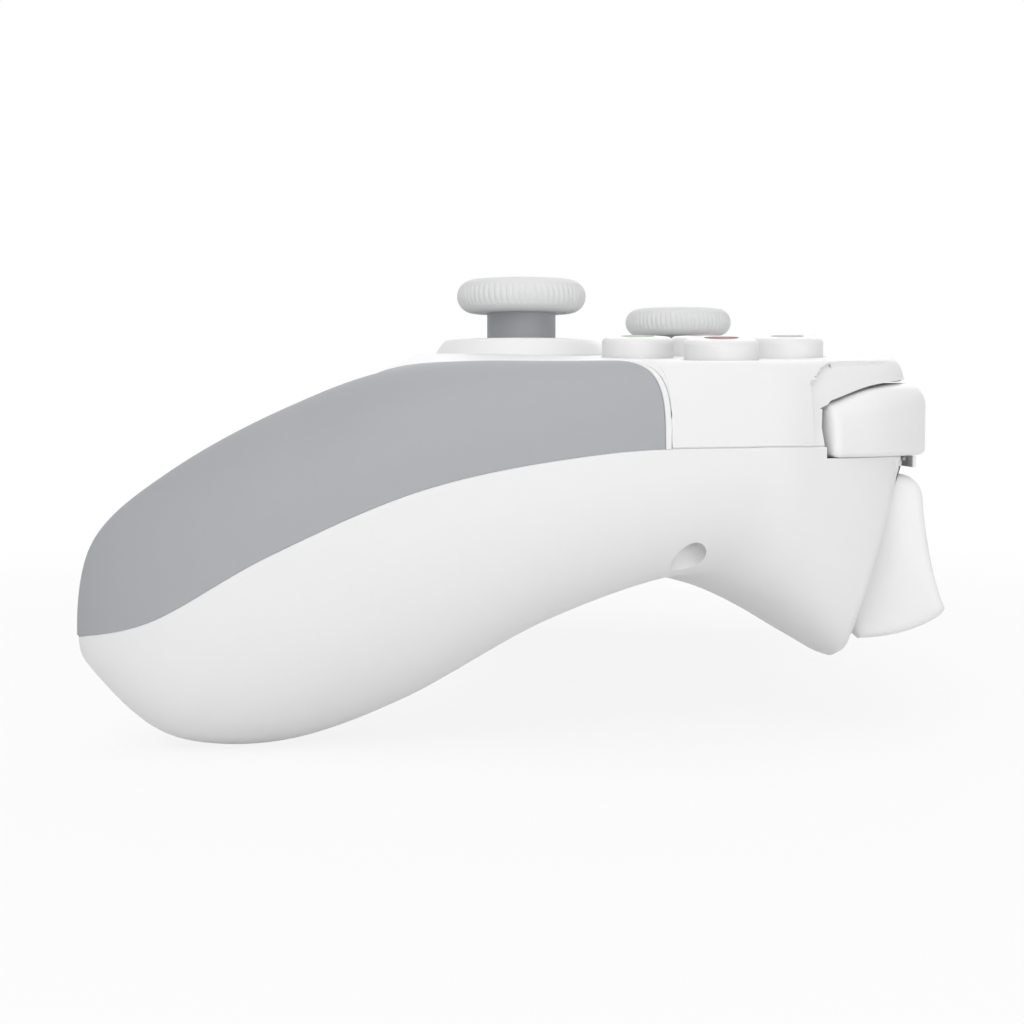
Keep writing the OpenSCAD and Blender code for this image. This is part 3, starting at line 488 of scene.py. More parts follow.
def cross_outline(long, arm, outer, inner):
    """A plus sign with rounded corners."""
    a, l = arm / 2, long / 2
    corners = []
    for k in range(4):
        turn = Matrix.Rotation(k * math.pi / 2, 2)
        for p, r in (((l, -a), outer), ((l, a), outer), ((a, a), inner)):
            spot = turn @ Vector(p)
            corners.append((spot.x, spot.y, r))
    return rounded_path(corners, 6)


def round_top(bm, height, radius, segments=5):
    """Rounds the edges that lie at a height."""
    edges = [e for e in bm.edges if all(abs(v.co.z - height) < 0.001 for v in e.verts)]
    bmesh.ops.bevel(
        bm, geom=edges, offset=radius, offset_type="OFFSET", affect="EDGES", segments=segments, profile=0.5,
        material=-1, clamp_overlap=False,
    )


def take_in(bm, *others):
    """Adds other meshes to one mesh."""
    for other in others:
        mesh = bpy.data.meshes.new("joined")
        other.to_mesh(mesh)
        other.free()
        bm.from_mesh(mesh)
        bpy.data.meshes.remove(mesh)
    return bm


def as_object(bm, name):
    """A scene object from a mesh that is still in millimetres."""
    mesh = bpy.data.meshes.new(name)
    bm.to_mesh(mesh)
    bm.free()
    made = bpy.data.objects.new(name, mesh)
    bpy.context.scene.collection.objects.link(made)
    return made


def drop(made):
    mesh = made.data
    bpy.data.objects.remove(made)
    bpy.data.meshes.remove(mesh)


def settled(made):
    """The mesh of an object with its modifiers applied, as a bmesh; the object goes."""
    bpy.context.view_layer.update()
    graph = bpy.context.evaluated_depsgraph_get()
    mesh = bpy.data.meshes.new_from_object(made.evaluated_get(graph))
    bm = bmesh.new()
    bm.from_mesh(mesh)
    bpy.data.meshes.remove(mesh)
    drop(made)
    return bm


def walled(bm, thickness):
    """Gives a skin its wall, inwards."""
    made = as_object(bm, "walled")
    wall = made.modifiers.new("Wall", "SOLIDIFY")
    wall.thickness = thickness
    wall.offset = -1
    wall.use_even_offset = False
    return settled(made)


def cut(bm, *cutters):
    """Takes cutters away from a closed mesh."""
    body = as_object(bm, "body")
    knives = []
    for cutter in cutters:
        knife = as_object(cutter, "knife")
        taken = body.modifiers.new("Cut", "BOOLEAN")
        taken.operation = "DIFFERENCE"
        taken.solver = "EXACT"
        taken.object = knife
        knives.append(knife)
    out = settled(body)
    for knife in knives:
        drop(knife)
    bmesh.ops.remove_doubles(out, verts=out.verts, dist=0.002)
    bmesh.ops.dissolve_degenerate(out, edges=out.edges, dist=0.001)
    return out


def finish_piece(bm, node, smooth=40, name=None, material=None):
    """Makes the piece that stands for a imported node, called after it unless it has a name of its own."""
    bmesh.ops.scale(bm, vec=(MM, MM, MM), verts=bm.verts)
    piece = as_object(bm, name or node.capitalize())
    piece.data.materials.append(material or finish(SLOT_OF[node]))
    piece.data.shade_smooth()
    piece.data.set_sharp_from_angle(angle=math.radians(smooth))
    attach(piece, BODY_OF[node])
    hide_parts(node)


def finish_pair(kind, build):
    """Makes a right-hand piece and its mirror image."""
    finish_piece(build(), f"right_{kind}", MOULDED)
    finish_piece(flipped(build()), f"left_{kind}", MOULDED)


# Finishes


class Shade:
    """One socket of a material; sums on it add Math nodes."""

    def __init__(self, tree, socket):
        self.tree = tree
        self.socket = socket

    def node(self, kind, settings=None, sockets=None, out=0):
        """Any node: its settings first, then the values or links of its sockets."""
        made = self.tree.nodes.new(kind)
        for key, value in (settings or {}).items():
            setattr(made, key, value)
        for key, value in (sockets or {}).items():
            if isinstance(value, Shade):
                self.tree.links.new(value.socket, made.inputs[key])
            else:
                made.inputs[key].default_value = value
        return Shade(self.tree, made.outputs[out])

    def sum(self, operation, first, second):
        return self.node("ShaderNodeMath", {"operation": operation}, {0: first, 1: second})

    def __add__(self, other):
        return self.sum("ADD", self, other)

    def __sub__(self, other):
        return self.sum("SUBTRACT", self, other)

    def __rsub__(self, other):
        return self.sum("SUBTRACT", other, self)

    def __mul__(self, other):
        return self.sum("MULTIPLY", self, other)

    __radd__ = __add__
    __rmul__ = __mul__

    def noise(self, scale, detail=2.0):
        """Soft noise of so many grains to the metre."""
        return self.node("ShaderNodeTexNoise", {}, {"Vector": self, "Scale": scale, "Detail": detail})

    def band(self, low, high):
        """Goes from 0 at low to 1 at high."""
        sockets = {"Value": self, "From Min": low, "From Max": high}
        return self.node("ShaderNodeMapRange", {"interpolation_type": "SMOOTHSTEP"}, sockets)

    def mixed(self, first, second):
        """A colour between two colours by this value."""
        sockets = {"Factor": self, "A": first, "B": second}
        return self.node("ShaderNodeMix", {"data_type": "RGBA"}, sockets, out=2)


def opaque(value):
    """A colour with its alpha."""
    return (*value, 1.0)


def shifted(value, factor):
    """A colour made lighter or darker."""
    return (*[min(c * factor, 1.0) for c in value], 1.0)


class Finish:
    """A material with its grain, tone and roughness."""

    def __init__(self, name, coat=0.0, metallic=0.0, specular=0.5):
        self.material = bpy.data.materials.new(name)
        self.material.use_nodes = True
        self.tree = self.material.node_tree
        self.shader = self.tree.nodes["Principled BSDF"]
        self.shader.inputs["Coat Weight"].default_value = coat
        self.shader.inputs["Metallic"].default_value = metallic
        self.shader.inputs["Specular IOR Level"].default_value = specular
        place = self.tree.nodes.new("ShaderNodeTexCoord")
        self.place = Shade(self.tree, place.outputs["Object"])

    def set(self, socket, value):
        self.tree.links.new(value.socket, self.shader.inputs[socket])

    def tone(self, value):
        """Sets the colour, and keeps it for a print over it."""
        self.base = value
        self.set("Base Color", value)

    def relief(self, height, strength, distance):
        sockets = {"Strength": strength, "Distance": distance, "Height": height}
        self.set("Normal", self.place.node("ShaderNodeBump", {}, sockets))


def plastic(
    name, base, rough, grain=7000.0, depth=0.00003, strength=0.25, tone=0.012, specular=0.4, coat=0.0
):
    """Moulded plastic or rubber: fine grain, slight clouds in tone and gloss."""
    made = Finish(name, specular=specular, coat=coat)
    clouds = made.place.noise(45.0, 3.0)
    fine = made.place.noise(grain, 2.0)
    made.tone(clouds.mixed(shifted(base, 1 - tone), shifted(base, 1 + tone)))
    made.set("Roughness", rough - 0.04 + 0.05 * clouds + 0.05 * fine)
    made.relief(fine, strength, depth)
    return made


def steel(name, base, rough):
    """Drawn steel with fine lines and slight stains."""
    made = Finish(name, metallic=1.0)
    stretched = made.place.node(
        "ShaderNodeMapping", {"vector_type": "POINT"}, {"Vector": made.place, "Scale": (1.0, 1.0, 14.0)}
    )
    lines = stretched.noise(2400.0, 3.0)
    clouds = made.place.noise(160.0, 2.0)
    made.tone(clouds.mixed(shifted(base, 0.9), shifted(base, 1.06)))
    made.set("Roughness", rough - 0.08 + 0.1 * lines + 0.08 * clouds)
    made.relief(lines, 0.2, 0.00001)
    return made


def dotted_key(name, base, dot, centre, diameter):
    """White key with a printed dot round its upright axis."""
    made = plastic(name, base, 0.36, grain=9000.0, depth=0.00001, strength=0.2, specular=0.5)
    axis = (centre.x * MM, centre.y * MM, 0.0)
    turned = made.place.node("ShaderNodeVectorMath", {"operation": "SUBTRACT"}, {0: made.place, 1: axis})
    flat = made.place.node("ShaderNodeVectorMath", {"operation": "MULTIPLY"}, {0: turned, 1: (1.0, 1.0, 0.0)})
    far = flat.node("ShaderNodeVectorMath", {"operation": "LENGTH"}, {0: flat}, out=1)
    inside = 1 - far.band(diameter / 2 - 0.00012, diameter / 2)
    made.tone(inside.mixed(made.base, opaque(dot)))
    return made.material


def tongued_socket(name, base, dark, centre):
    """Steel socket with a dark tongue in its middle."""
    made = steel(name, base, 0.34)
    height = made.place.node("ShaderNodeSeparateXYZ", {}, {0: made.place}, out=2)
    off = made.place.node("ShaderNodeMath", {"operation": "ABSOLUTE"}, {0: height - centre.z * MM})
    inside = 1 - off.band(0.0004, 0.00046)
    made.tone(inside.mixed(made.base, opaque(dark)))
    made.set("Metallic", 1 - inside)
    return made.material


FINISHES = {}


def finish(slot):
    """The material of a slot, made when it is first asked for."""
    if slot not in FINISHES:
        c = bpy.context.scene.gamepad_colours
        makers = {
            "shell_white": (plastic, c.shell, 0.46, {"tone": 0.008}),
            "grip_grey": (plastic, c.grip, 0.62, {"grain": 5200.0, "depth": 0.00005, "specular": 0.3}),
            "key_white": (plastic, c.key, 0.36, {"grain": 9000.0, "depth": 0.00001, "strength": 0.2}),
            "cap_grey": (plastic, c.cap, 0.6, {"grain": 6000.0, "depth": 0.00004, "specular": 0.3}),
            "neck_grey": (plastic, c.neck, 0.42, {"grain": 8000.0, "tone": 0.02}),
            "dark_plastic": (plastic, c.dark, 0.48, {"tone": 0.1}),
            "steel": (steel, c.steel, 0.36, {}),
            "silicone": (plastic, c.silicone, 0.55, {"grain": 4000.0, "tone": 0.03, "specular": 0.3}),
            "board_green": (plastic, c.board, 0.34, {"grain": 2500.0, "tone": 0.12}),
            "cell_foil": (plastic, c.foil, 0.4, {"grain": 900.0, "depth": 0.0001, "tone": 0.05}),
            "light_guide": (plastic, c.light, 0.22, {"tone": 0.02, "coat": 0.4}),
        }
        make, base, rough, more = makers[slot]
        FINISHES[slot] = make(slot, base, rough, **more).material
    return FINISHES[slot]


# Shared forms of the shoulders


def round_off(t):
    """How far a quarter round has fallen, from 0 at its start to 1 at its end."""
    return 1 - math.sqrt(max(1 - clamp(t) ** 2, 0))


def bumper_row(form, u):
    """Outer and inner plan points and top height of a bumper, from its inner end (0) to its outer end (6)."""
    h = form.half_w
    rows = [
        [14.4, 53, 14.4, 44.4, 44.2],
        [h - 53, 53.3, h - 53, 44.6, 44.2],
        [h - 41, 53.3, h - 42.5, 44.4, 44.1],
        [h - 31.5, 52.8, h - 35, 43.4, 44.1],
        [h - 22.5, 50.2, h - 27.5, 41, 44.1],
        [h - 15, 44.4, h - 21, 38, 43.3],
        [h - 10.2, 37.3, h - 17.2, 34, 41.3],
    ]
    first = [2 * a - b for a, b in zip(rows[0], rows[1])]
    final = [2 * a - b for a, b in zip(rows[6], rows[5])]
    keys = [first] + rows + [final]
    k = min(int(math.floor(u)), 5)
    row = curve_through(keys[k], keys[k + 1], keys[k + 2], keys[k + 3], u - k)
    row[4] -= 0.8 * round_off((u - 5.9) / 0.1)
    return row


BUMPER_LOW = low_high("right_bumper")[0].z
# How much lower, farther back and higher behind its lip a channel is than its bumper
CHANNEL_BELOW, CHANNEL_REAR, CHANNEL_ROOF = 0.1, 2.0, 0.3
# How far a channel's lip reaches back before its roof rises, and where its slanted end has a corner
CHANNEL_LIP, CHANNEL_CORNER = 3.1, 1.6
# How far a channel's outer end reaches at the face, and how deep in its slant starts and how far that goes
CHANNEL_END, SLANT_FROM, SLANT = 0.12, 0.4, 1.15
# Rounding of a bumper's outer end, and the stations that it takes
END_ROUND, END_FROM, END_SPAN = 1.1, 5.84, 0.16


def bumper_bar(form, rounds, gap=0.0):
    """The bar of a bumper, or with a gap the channel that it lies in."""
    upper, lower, back = rounds

    def ring(u):
        r = bumper_row(form, u)
        outer, inner = Vector((r[0], r[1])), Vector((r[2], r[3]))
        depth = (inner - outer).length
        way = (inner - outer) / depth
        high = r[4] + gap
        if gap > 0:
            near, far = -gap, depth + gap + CHANNEL_REAR
            low, roof = BUMPER_LOW - CHANNEL_BELOW, high + CHANNEL_ROOF
        else:
            near, far = END_ROUND * round_off((u - END_FROM) / END_SPAN), depth
            low, roof = BUMPER_LOW + near * 0.4, high
        corners = [(near, low, lower), (far, low, back), (far, roof, back), (near, high, upper)]
        if gap > 0:
            lip = near + CHANNEL_LIP
            corners[3:3] = [(lip + 0.3, roof, 0), (lip, high, 0), (CHANNEL_CORNER, high, 0)]
            corners[1:1] = [(CHANNEL_CORNER, low, 0)]
        return [(outer + way * p.x, p.y, p.x) for p in rounded_path(corners, 6)]

    us = spaced([0, 5, 5.7, 6], [44, 8, 14])
    rings = [ring(u) for u in us]
    if gap > 0:
        for end, nearby in ((0, 1), (-1, -2)):
            way = (rings[end][0][0] - rings[nearby][0][0]).normalized()
            for i, (spot, z, depth) in enumerate(rings[end]):
                slanted = CHANNEL_END + min(max(depth - SLANT_FROM, 0), SLANT)
                rings[end][i] = (spot + way * (gap if end == 0 else slanted), z, depth)
    return sleeve([[Vector((spot.x, spot.y, z)) for spot, z, depth in one] for one in rings])


def bend(a, b, c, count):
    """Points of a simple curve from a to c, drawn towards b."""
    out = []
    for i in range(count + 1):
        t = i / count
        out.append(Vector(a) * (1 - t) ** 2 + Vector(b) * (2 * t * (1 - t)) + Vector(c) * t * t)
    return out


def along_x(outline, x0, x1):
    """A closed prism across the case over an outline of (y, z) points."""
    bm = prism([(p[0], p[1]) for p in outline], x0, x1)
    across = Matrix(((0, 0, 1, 0), (1, 0, 0, 0), (0, 1, 0, 0), (0, 0, 0, 1)))
    bmesh.ops.transform(bm, matrix=across, verts=bm.verts)
    return normals_out(bm)


def rod(centre, radius, low, high, steps=32):
    """An upright cylinder."""
    return turned_solid([(radius, low, 0), (radius, high, 0)], steps, at=(centre[0], centre[1], 0))


# Operators


class GAMEPAD_OT_shells(bpy.types.Operator):
    """Makes the two halves of the moulded case"""

    bl_idname = "gamepad.shells"
    bl_label = "Make the shells"

    # Front of the trigger housing in side view, as a point and a way along it
    WELL_POINT = (41.3, 12.0)
    WELL_WAY = (7.1, 21.9)
    WELL_START = 32.4
    # Stations between which the lower shell ends under a bumper
    LEDGE_FROM, LEDGE_TO = 7.16, 10.52
    # How far the lower shell stays behind the grip at a handle's end, and above the ground
    TIP_STEP, STAND = 0.55, 0.08
    # Stations of the step in the face, its upper end, how far that drops and where it starts to
    STEP_FROM, STEP_TO, STEP_TOP, STEP_DROP, STEP_CORNER = 6.99, 7.5, 46.7, 2.8, 34.9
    # Where the lower corner beside a trigger is lifted from, and the height that it is drawn to
    LIFT_FROM, LIFT_TO = 25, 17
    # Where the front of the housing begins, and the foot and depth of its inner wall
    HOUSING_FROM, INNER_FOOT, INNER_DEPTH = 28, 15.5, 7
    # Thickness of the outer wall of a trigger's opening, its clearance, and thickness of the strip above
    LINING, LINING_GAP, STRIP = 1.2, 0.6, 0.4
    # Where the inside of the top is kept under the face, and how far
    UNDER_FROM, UNDER_BY = (55, 32, 46.4), 0.8
    # Outer side that the inside of the housing is drawn to, clear of a trigger
    OUTER_SIDE = 56.9
    # Radius of a screw's recess, of the wall round it and of the hole in its floor
    RECESS, BOSS, SCREW_HOLE = 2.1, 3.3, 1.25
    SCREWS = ((67.9, 20, 29.5), (62.5, -40, 10))

    def execute(self, context):
        sizes = context.scene.gamepad_case
        form = CaseForm(sizes)
        gap = context.scene.gamepad_shoulders.bumper_gap / MM
        finish_piece(self.top(form, sizes, gap), "top_shell", MOULDED)
        finish_piece(self.bottom(form, sizes), "bottom_shell", MOULDED)
        return {"FINISHED"}

    def channels(self, form, gap):
        """The channels that both bumpers lie in."""
        rounds = (1.2, 0.8, 0)
        return take_in(bumper_bar(form, rounds, gap), flipped(bumper_bar(form, rounds, gap)))

    def port(self):
        """The opening of the charging socket."""
        spot = middle("usb_socket")
        bm = swing(prism(oval_outline(*PORT_OVAL), -20, 8), Matrix.Rotation(-math.pi / 2, 3, "X"))
        return normals_out(move(bm, (0, spot.y, spot.z)))

    def top(self, form, sizes, gap):
        wider = sizes.rim_width / MM / form.GRIP_STATION
        step = sizes.step_depth / MM
        end = form.GRIP_END + wider
        start = form.GRIP_END - form.GRIP_ROUND
        columns = spaced([form.GRIP_FROM + 0.005, 4.55, start], [24, 10])
        columns += [start + (end - start) * (1 - (1 - i / 16) ** 2.2) for i in range(1, 16)]
        columns += [end - 0.0005]
        columns += spaced([end, 6.4, 6.98, 7.04, 7.6, 9, 11], [22, 14, 8, 16, 26, 36])

        def place(u, s):
            low = form.grip_limit(u, wider) if u < end else 0.0
            bend_at = 1.15 + (low + (3 - low) * 0.5 - 1.15) * clamp(low)
            q = low + (bend_at - low) * s * 2 if s < 0.5 else bend_at + (3 - bend_at) * (s * 2 - 1)
            return self.stepped(form, u, q, step)

        bm = skin_grid(columns, 80, place, sizes.groove / MM, form.inside)
        mirror_over(bm)
        face_out(bm, (0, 0, 1))
        tree = BVHTree.FromBMesh(bm)
        cutters = [self.channels(form, gap), self.openings(tree), self.port()]
        shell = walled(bm, sizes.wall / MM)
        self.keep_under(shell, tree)
        return cut(shell, *cutters)

    def keep_under(self, shell, tree):
        """Draws the inside of the wall back under the face where the step's fold puts it outside."""
        x, y, z = self.UNDER_FROM
        for v in shell.verts:
            if abs(v.co.x) > x and v.co.y > y and v.co.z > z:
                spot = skin_at(tree, v.co.x, v.co.y, -1)[0]
                if spot and v.co.z > spot.z + 0.01:
                    v.co.z = spot.z - self.UNDER_BY

    def stepped(self, form, u, q, step):
        """Point of the top, set in above the bumper behind an upright step that ends below the face."""
        p = form.point(u, q, True)
        upper = self.STEP_TOP - self.STEP_DROP * math.exp(-max(p.y - self.STEP_CORNER, 0) / 1.4)
        fade = rising(u, self.STEP_FROM, 0.035) * (1 - rising(u, self.STEP_TO, 0.9))
        fade *= ease(clamp((upper - p.z) / 0.7 + 0.5)) * (0.3 + 0.7 * rising(p.z, form.seam, 1.5))
        fade *= 1 - rising(q, 0.7, 0.2)
        if fade > 0:
            row = form.row(u)
            inward = Vector((row[0] - row[2], row[1] - row[3], 0)).normalized()
            p += inward * step * fade
        return p

    def openings(self, tree):
        """Holes of the keys, sticks and light; the round holes of the face and home buttons have a slight
        flare at the face.
        """
        keys = bpy.context.scene.gamepad_keys
        gap = keys.gap / MM

        def round_hole(node, radius, below=14):
            centre = middle(node)
            spot, normal = skin_at(tree, centre.x, centre.y, -1)
            wide = radius + 0.3
            hole = spun([(0, -below), (radius, -below), (radius, -0.22), (wide, 0.06), (wide, 6), (0, 6)], 72)
            return move(swing(hole, Vector((0, 0, 1)).rotation_difference(normal).to_matrix()), spot)

        def slot(node, outline):
            return move(prism(outline, 36, 60), plan_of(node))

        parts = [round_hole(f"button_{way}", keys.button_diameter / MM / 2 + gap) for way in FACE_WAYS]
        parts.append(round_hole("home_button", HOME_RADIUS + gap))
        for side in SIDES:
            node = f"{side}_stick_collar"
            low, high = low_high(node)
            seat = low.z + COLLAR_FOOT
            outer = (high.x - low.x) / 2 + 0.08
            foot = outer - COLLAR_FLANGE
            under, over = seat - 12, seat + 12
            path = [(0, under), (foot, under), (foot, seat), (outer, seat), (outer, over), (0, over)]
            parts.append(spun(path, 96, at=plan_of(node)))
        for node, (long, wide) in [(n, MENU_OVAL) for n in MENU_NODES] + [("status_light", LIGHT_OVAL)]:
            parts.append(slot(node, oval_outline(long + 2 * gap, wide + 2 * gap)))
        parts.append(slot("dpad", cross_outline(23.8, 9.0, 2.0, 0.8)))
        return take_in(bmesh.new(), *parts)

    def under_bumper(self, form, u):
        """Where the lower skin passes below a bumper, or the seam elsewhere."""
        if not self.LEDGE_FROM < u < self.LEDGE_TO:
            return 0.0
        low, high = 0.0, 1.0
        for _ in range(18):
            q = (low + high) / 2
            if form.point(u, q, False).z > BUMPER_LOW - 0.06:
                low = q
            else:
                high = q
        return low

    def bottom(self, form, sizes):
        a, b = self.LEDGE_FROM, self.LEDGE_TO
        tiny = 0.0005
        columns = spaced([0, 0.12, 1, 2, 3, 4, 5, 6, 7, a - tiny], [6, 16, 14, 16, 18, 22, 20, 14, 4])
        columns += spaced([a + tiny, 8, 9, 10, b - tiny], [16, 18, 20, 10]) + spaced([b + tiny, 11], [10])

        def place(u, s):
            q = self.under_bumper(form, u)
            p = form.point(u, q + (3 - q) * s, False)
            p.y += self.TIP_STEP * (1 - rising(u, 0, 1))
            inner = rising(p.x, self.LIFT_FROM, 7.4) * (1 - rising(p.x, self.WELL_START, 1))
            p.z += 0.6 * max(self.LIFT_TO - p.z, 0) * inner * rising(p.y, 41, 6)
            p.z = max(p.z, self.STAND)
            return p

        bm = skin_grid(columns, 66, place, sizes.groove / MM / 2, form.inside)
        self.open_housing(bm, sizes.housing_round / MM)
        mirror_over(bm)
        face_out(bm, (0, 0, -1))
        wall = sizes.wall / MM
        tree = BVHTree.FromBMesh(bm)
        shell = walled(bm, wall)
        self.swing_room(shell, tree)
        shell = cut(shell, self.port(), self.recesses())
        extras = self.bosses(tree, wall) + [self.rim(form, sizes, side) for side in (1, -1)]
        return take_in(shell, self.label_pad(), *self.well_walls(tree), *extras)

    def open_housing(self, bm, radius):
        """Cuts the front of the trigger housing away along a slanted plane and rounds the edge."""
        point = Vector((0, *self.WELL_POINT))
        way = Vector((0, *self.WELL_WAY)).normalized()
        normal = Vector((0, way.z, -way.y))

        def front_part():
            spots = [(f, f.calc_center_median()) for f in bm.faces]
            faces = [f for f, spot in spots if spot.x > self.WELL_START and spot.y > self.HOUSING_FROM]
            verts = {v for f in faces for v in f.verts}
            edges = {e for f in faces for e in f.edges}
            return list(verts) + list(edges) + faces

        def slice_at(geom, spot, across, clear=False):
            bmesh.ops.bisect_plane(
                bm, geom=geom, plane_co=spot, plane_no=across, clear_outer=clear, dist=0.001
            )

        slice_at(all_of(bm), (self.WELL_START, 0, 0), (1, 0, 0))
        bmesh.ops.split_edges(bm, edges=self.at_start(bm))
        for share in (1.0, 0.75, 0.5, 0.3, 0.15, 0.05):
            slice_at(front_part(), point - normal * radius * share, normal)
        slice_at(front_part(), point, normal, True)
        bm.normal_update()
        for v in bm.verts:
            back = (point - v.co).dot(normal)
            if v.co.x > self.WELL_START + 0.01 and v.co.y > self.HOUSING_FROM and -0.01 < back < radius:
                out = v.normal.copy()
                if out.dot(v.co - Vector((40, 30, 24))) < 0:
                    out.negate()
                v.co -= out * radius * 0.8 * clamp(1 - back / radius) ** 1.25
        bmesh.ops.remove_doubles(bm, verts=bm.verts, dist=0.001)
        edges = [
            e for e in self.at_start(bm) if e.is_boundary and min(v.co.z for v in e.verts) > self.INNER_FOOT
        ]
        for v in {v for e in edges for v in e.verts}:
            v.co.y -= 0.3
        made = bmesh.ops.extrude_edge_only(bm, edges=edges)["geom"]
        ends = [g for g in made if isinstance(g, bmesh.types.BMVert)]
        bmesh.ops.translate(bm, vec=(0, -self.INNER_DEPTH, 0), verts=ends)

    def at_start(self, bm):
        """Edges of the front along the inner side of the trigger's opening."""
        return [
            e for e in bm.edges if all(abs(v.co.x - self.WELL_START) < 0.002 and v.co.y > 30 for v in e.verts)
        ]

    def skin_under(self, tree, x, y):
        """Height of the lower skin at a place, or None outside it."""
        spot = skin_at(tree, x, y, 1)[0]
        return spot.z if spot else None

    def swing_room(self, shell, tree):
        """Presses the inside of the wall back where a pulled trigger passes; the outside stays."""
        pin, low = middle("right_trigger_pin"), low_high("right_trigger")[0]
        centre, room = pin.yz, pin.z - low.z + 0.75
        start, side = self.WELL_START, self.OUTER_SIDE
        for v in shell.verts:
            x, y, z = v.co
            arm = v.co.yz - centre
            if start + 0.1 < abs(x) < side + 0.3 and z < 17 and 30 < y < 43 and arm.length < room:
                skin = self.skin_under(tree, x, y)
                if skin is not None and z > skin + 0.3:
                    swept = centre.y - math.sqrt(max(room ** 2 - arm.x ** 2, 0))
                    v.co.z = max(min(z, swept), skin + 0.5)
            if start < abs(x) < start + 2 and y > 43.5 and z < 18:
                v.co.x = math.copysign(start, x)
            if side - 2.9 < abs(x) < side and y > 43 and 26 < z < 34.6:
                v.co.x = math.copysign(side, x)

    def well_walls(self, tree):
        """Outer wall of each trigger's opening, and the strip between the trigger and the bumper."""
        high = low_high("right_trigger")[1]
        way = Vector(self.WELL_WAY)
        back = Vector(self.WELL_POINT) - Vector((1.8, 0))
        x = high.x + self.LINING_GAP
        end = x + self.LINING
        front, foot = [], []
        for t in (1.04, 0.8, 0.6, 0.45, 0.35, 0.25, 0.15, 0.05):
            p = back + way * t
            skin = self.skin_under(tree, end, p.x)
            if skin is None or p.y > skin + 0.9:
                front.append(p)
        for k in range(10):
            y = front[-1].x - 0.1 - 1.4 * k
            skin = self.skin_under(tree, end, y)
            if skin is not None:
                foot.append(Vector((y, skin + 0.8)))
        outline = front + foot + [Vector((foot[-1].x, front[0].y))]
        y0, z0, z1 = low_high("main_board")[1].y + 0.1, high.z + 0.4, BUMPER_LOW - 0.1
        y1 = y0 + self.STRIP
        strip = [(y0, z0), (y1, z0), (y1, z1), (y0, z1)]
        out = []
        for shape, x0, x1 in ((outline, x, end), (strip, self.WELL_START - 1, high.x - 0.5)):
            out += [along_x(shape, x0, x1), flipped(along_x(shape, x0, x1))]
        return out

    def recesses(self):
        """Bores of the four case screws."""
        parts = [rod((x, y), self.RECESS, -5, seat) for x, y, seat in self.screw_places()]
        return take_in(bmesh.new(), *parts)

    def screw_places(self):
        return [(side * x, y, seat) for side in (1, -1) for x, y, seat in self.SCREWS]

    def bosses(self, tree, wall):
        """Walls of the screw recesses, each from the inside of the shell up to its floor."""
        out = []
        for x, y, seat in self.screw_places():
            path = [(self.RECESS, 0), (self.BOSS, 0), (self.BOSS, seat + 2)]
            path += [(self.SCREW_HOLE, seat + 2), (self.SCREW_HOLE, seat), (self.RECESS, seat)]
            bm = spun(path, 48, closed=True, at=(x, y, 0))
            for v in bm.verts:
                if v.co.z < 1:
                    skin = self.skin_under(tree, v.co.x, v.co.y)
                    v.co.z = seat - 1 if skin is None else skin + wall * 0.6
            out.append(bm)
        return out

    def rim(self, form, sizes, side):
        """White rim of the lower shell that rises round the front end of a grip."""
        wider = sizes.rim_width / MM / form.GRIP_STATION
        start = form.GRIP_END - form.GRIP_ROUND

        def place(k, s):
            reach = 1 - (1 - k / 30) ** 2.2
            u0 = start + form.GRIP_ROUND * reach
            u1 = start + (form.GRIP_ROUND + wider) * reach
            return form.point(u0 + (u1 - u0) * (0.08 + 0.84 * s), form.GRIP_Q * form.corner(reach), True)

        bm = skin_grid(list(range(6, 31)), 6, place, 0.1, lambda k: form.inside(form.GRIP_END))
        face_out(bm, (1, 0, 0))
        bm = walled(bm, 1.4)
        return bm if side > 0 else flipped(bm)

    def label_pad(self):
        """Flat pad in the middle of the underside."""
        low = 19.3
        bm = prism(rounded_path([(-20, -3, 2), (20, -3, 2), (20, 15, 2), (-20, 15, 2)], 6), low, low + 1.4)
        round_top(bm, low, 0.25, 3)
        return bm


class GAMEPAD_OT_grips(bpy.types.Operator):
    """Makes the soft grips over the tops of the handles"""

    bl_idname = "gamepad.grips"
    bl_label = "Make the grips"

    def execute(self, context):
        sizes = context.scene.gamepad_case
        form = CaseForm(sizes)
        start = form.GRIP_END - form.GRIP_ROUND
        columns = spaced([0, 0.12, 1, 2, 3, form.GRIP_FROM, form.GRIP_TO, start], [6, 16, 14, 16, 7, 26, 10])
        columns += [start + form.GRIP_ROUND * (1 - (1 - i / 18) ** 2.2) for i in range(1, 18)]
        columns += [form.GRIP_END - 0.0004]

        def place(u, s):
            return form.point(u, max(form.grip_limit(u), 0.01) * s, True)

        def build():
            bm = skin_grid(columns, 48, place, sizes.groove / MM / 2, form.inside)
            face_out(bm, (0, 0, 1))
            return walled(bm, sizes.wall / MM)

        finish_pair("grip", build)
        return {"FINISHED"}


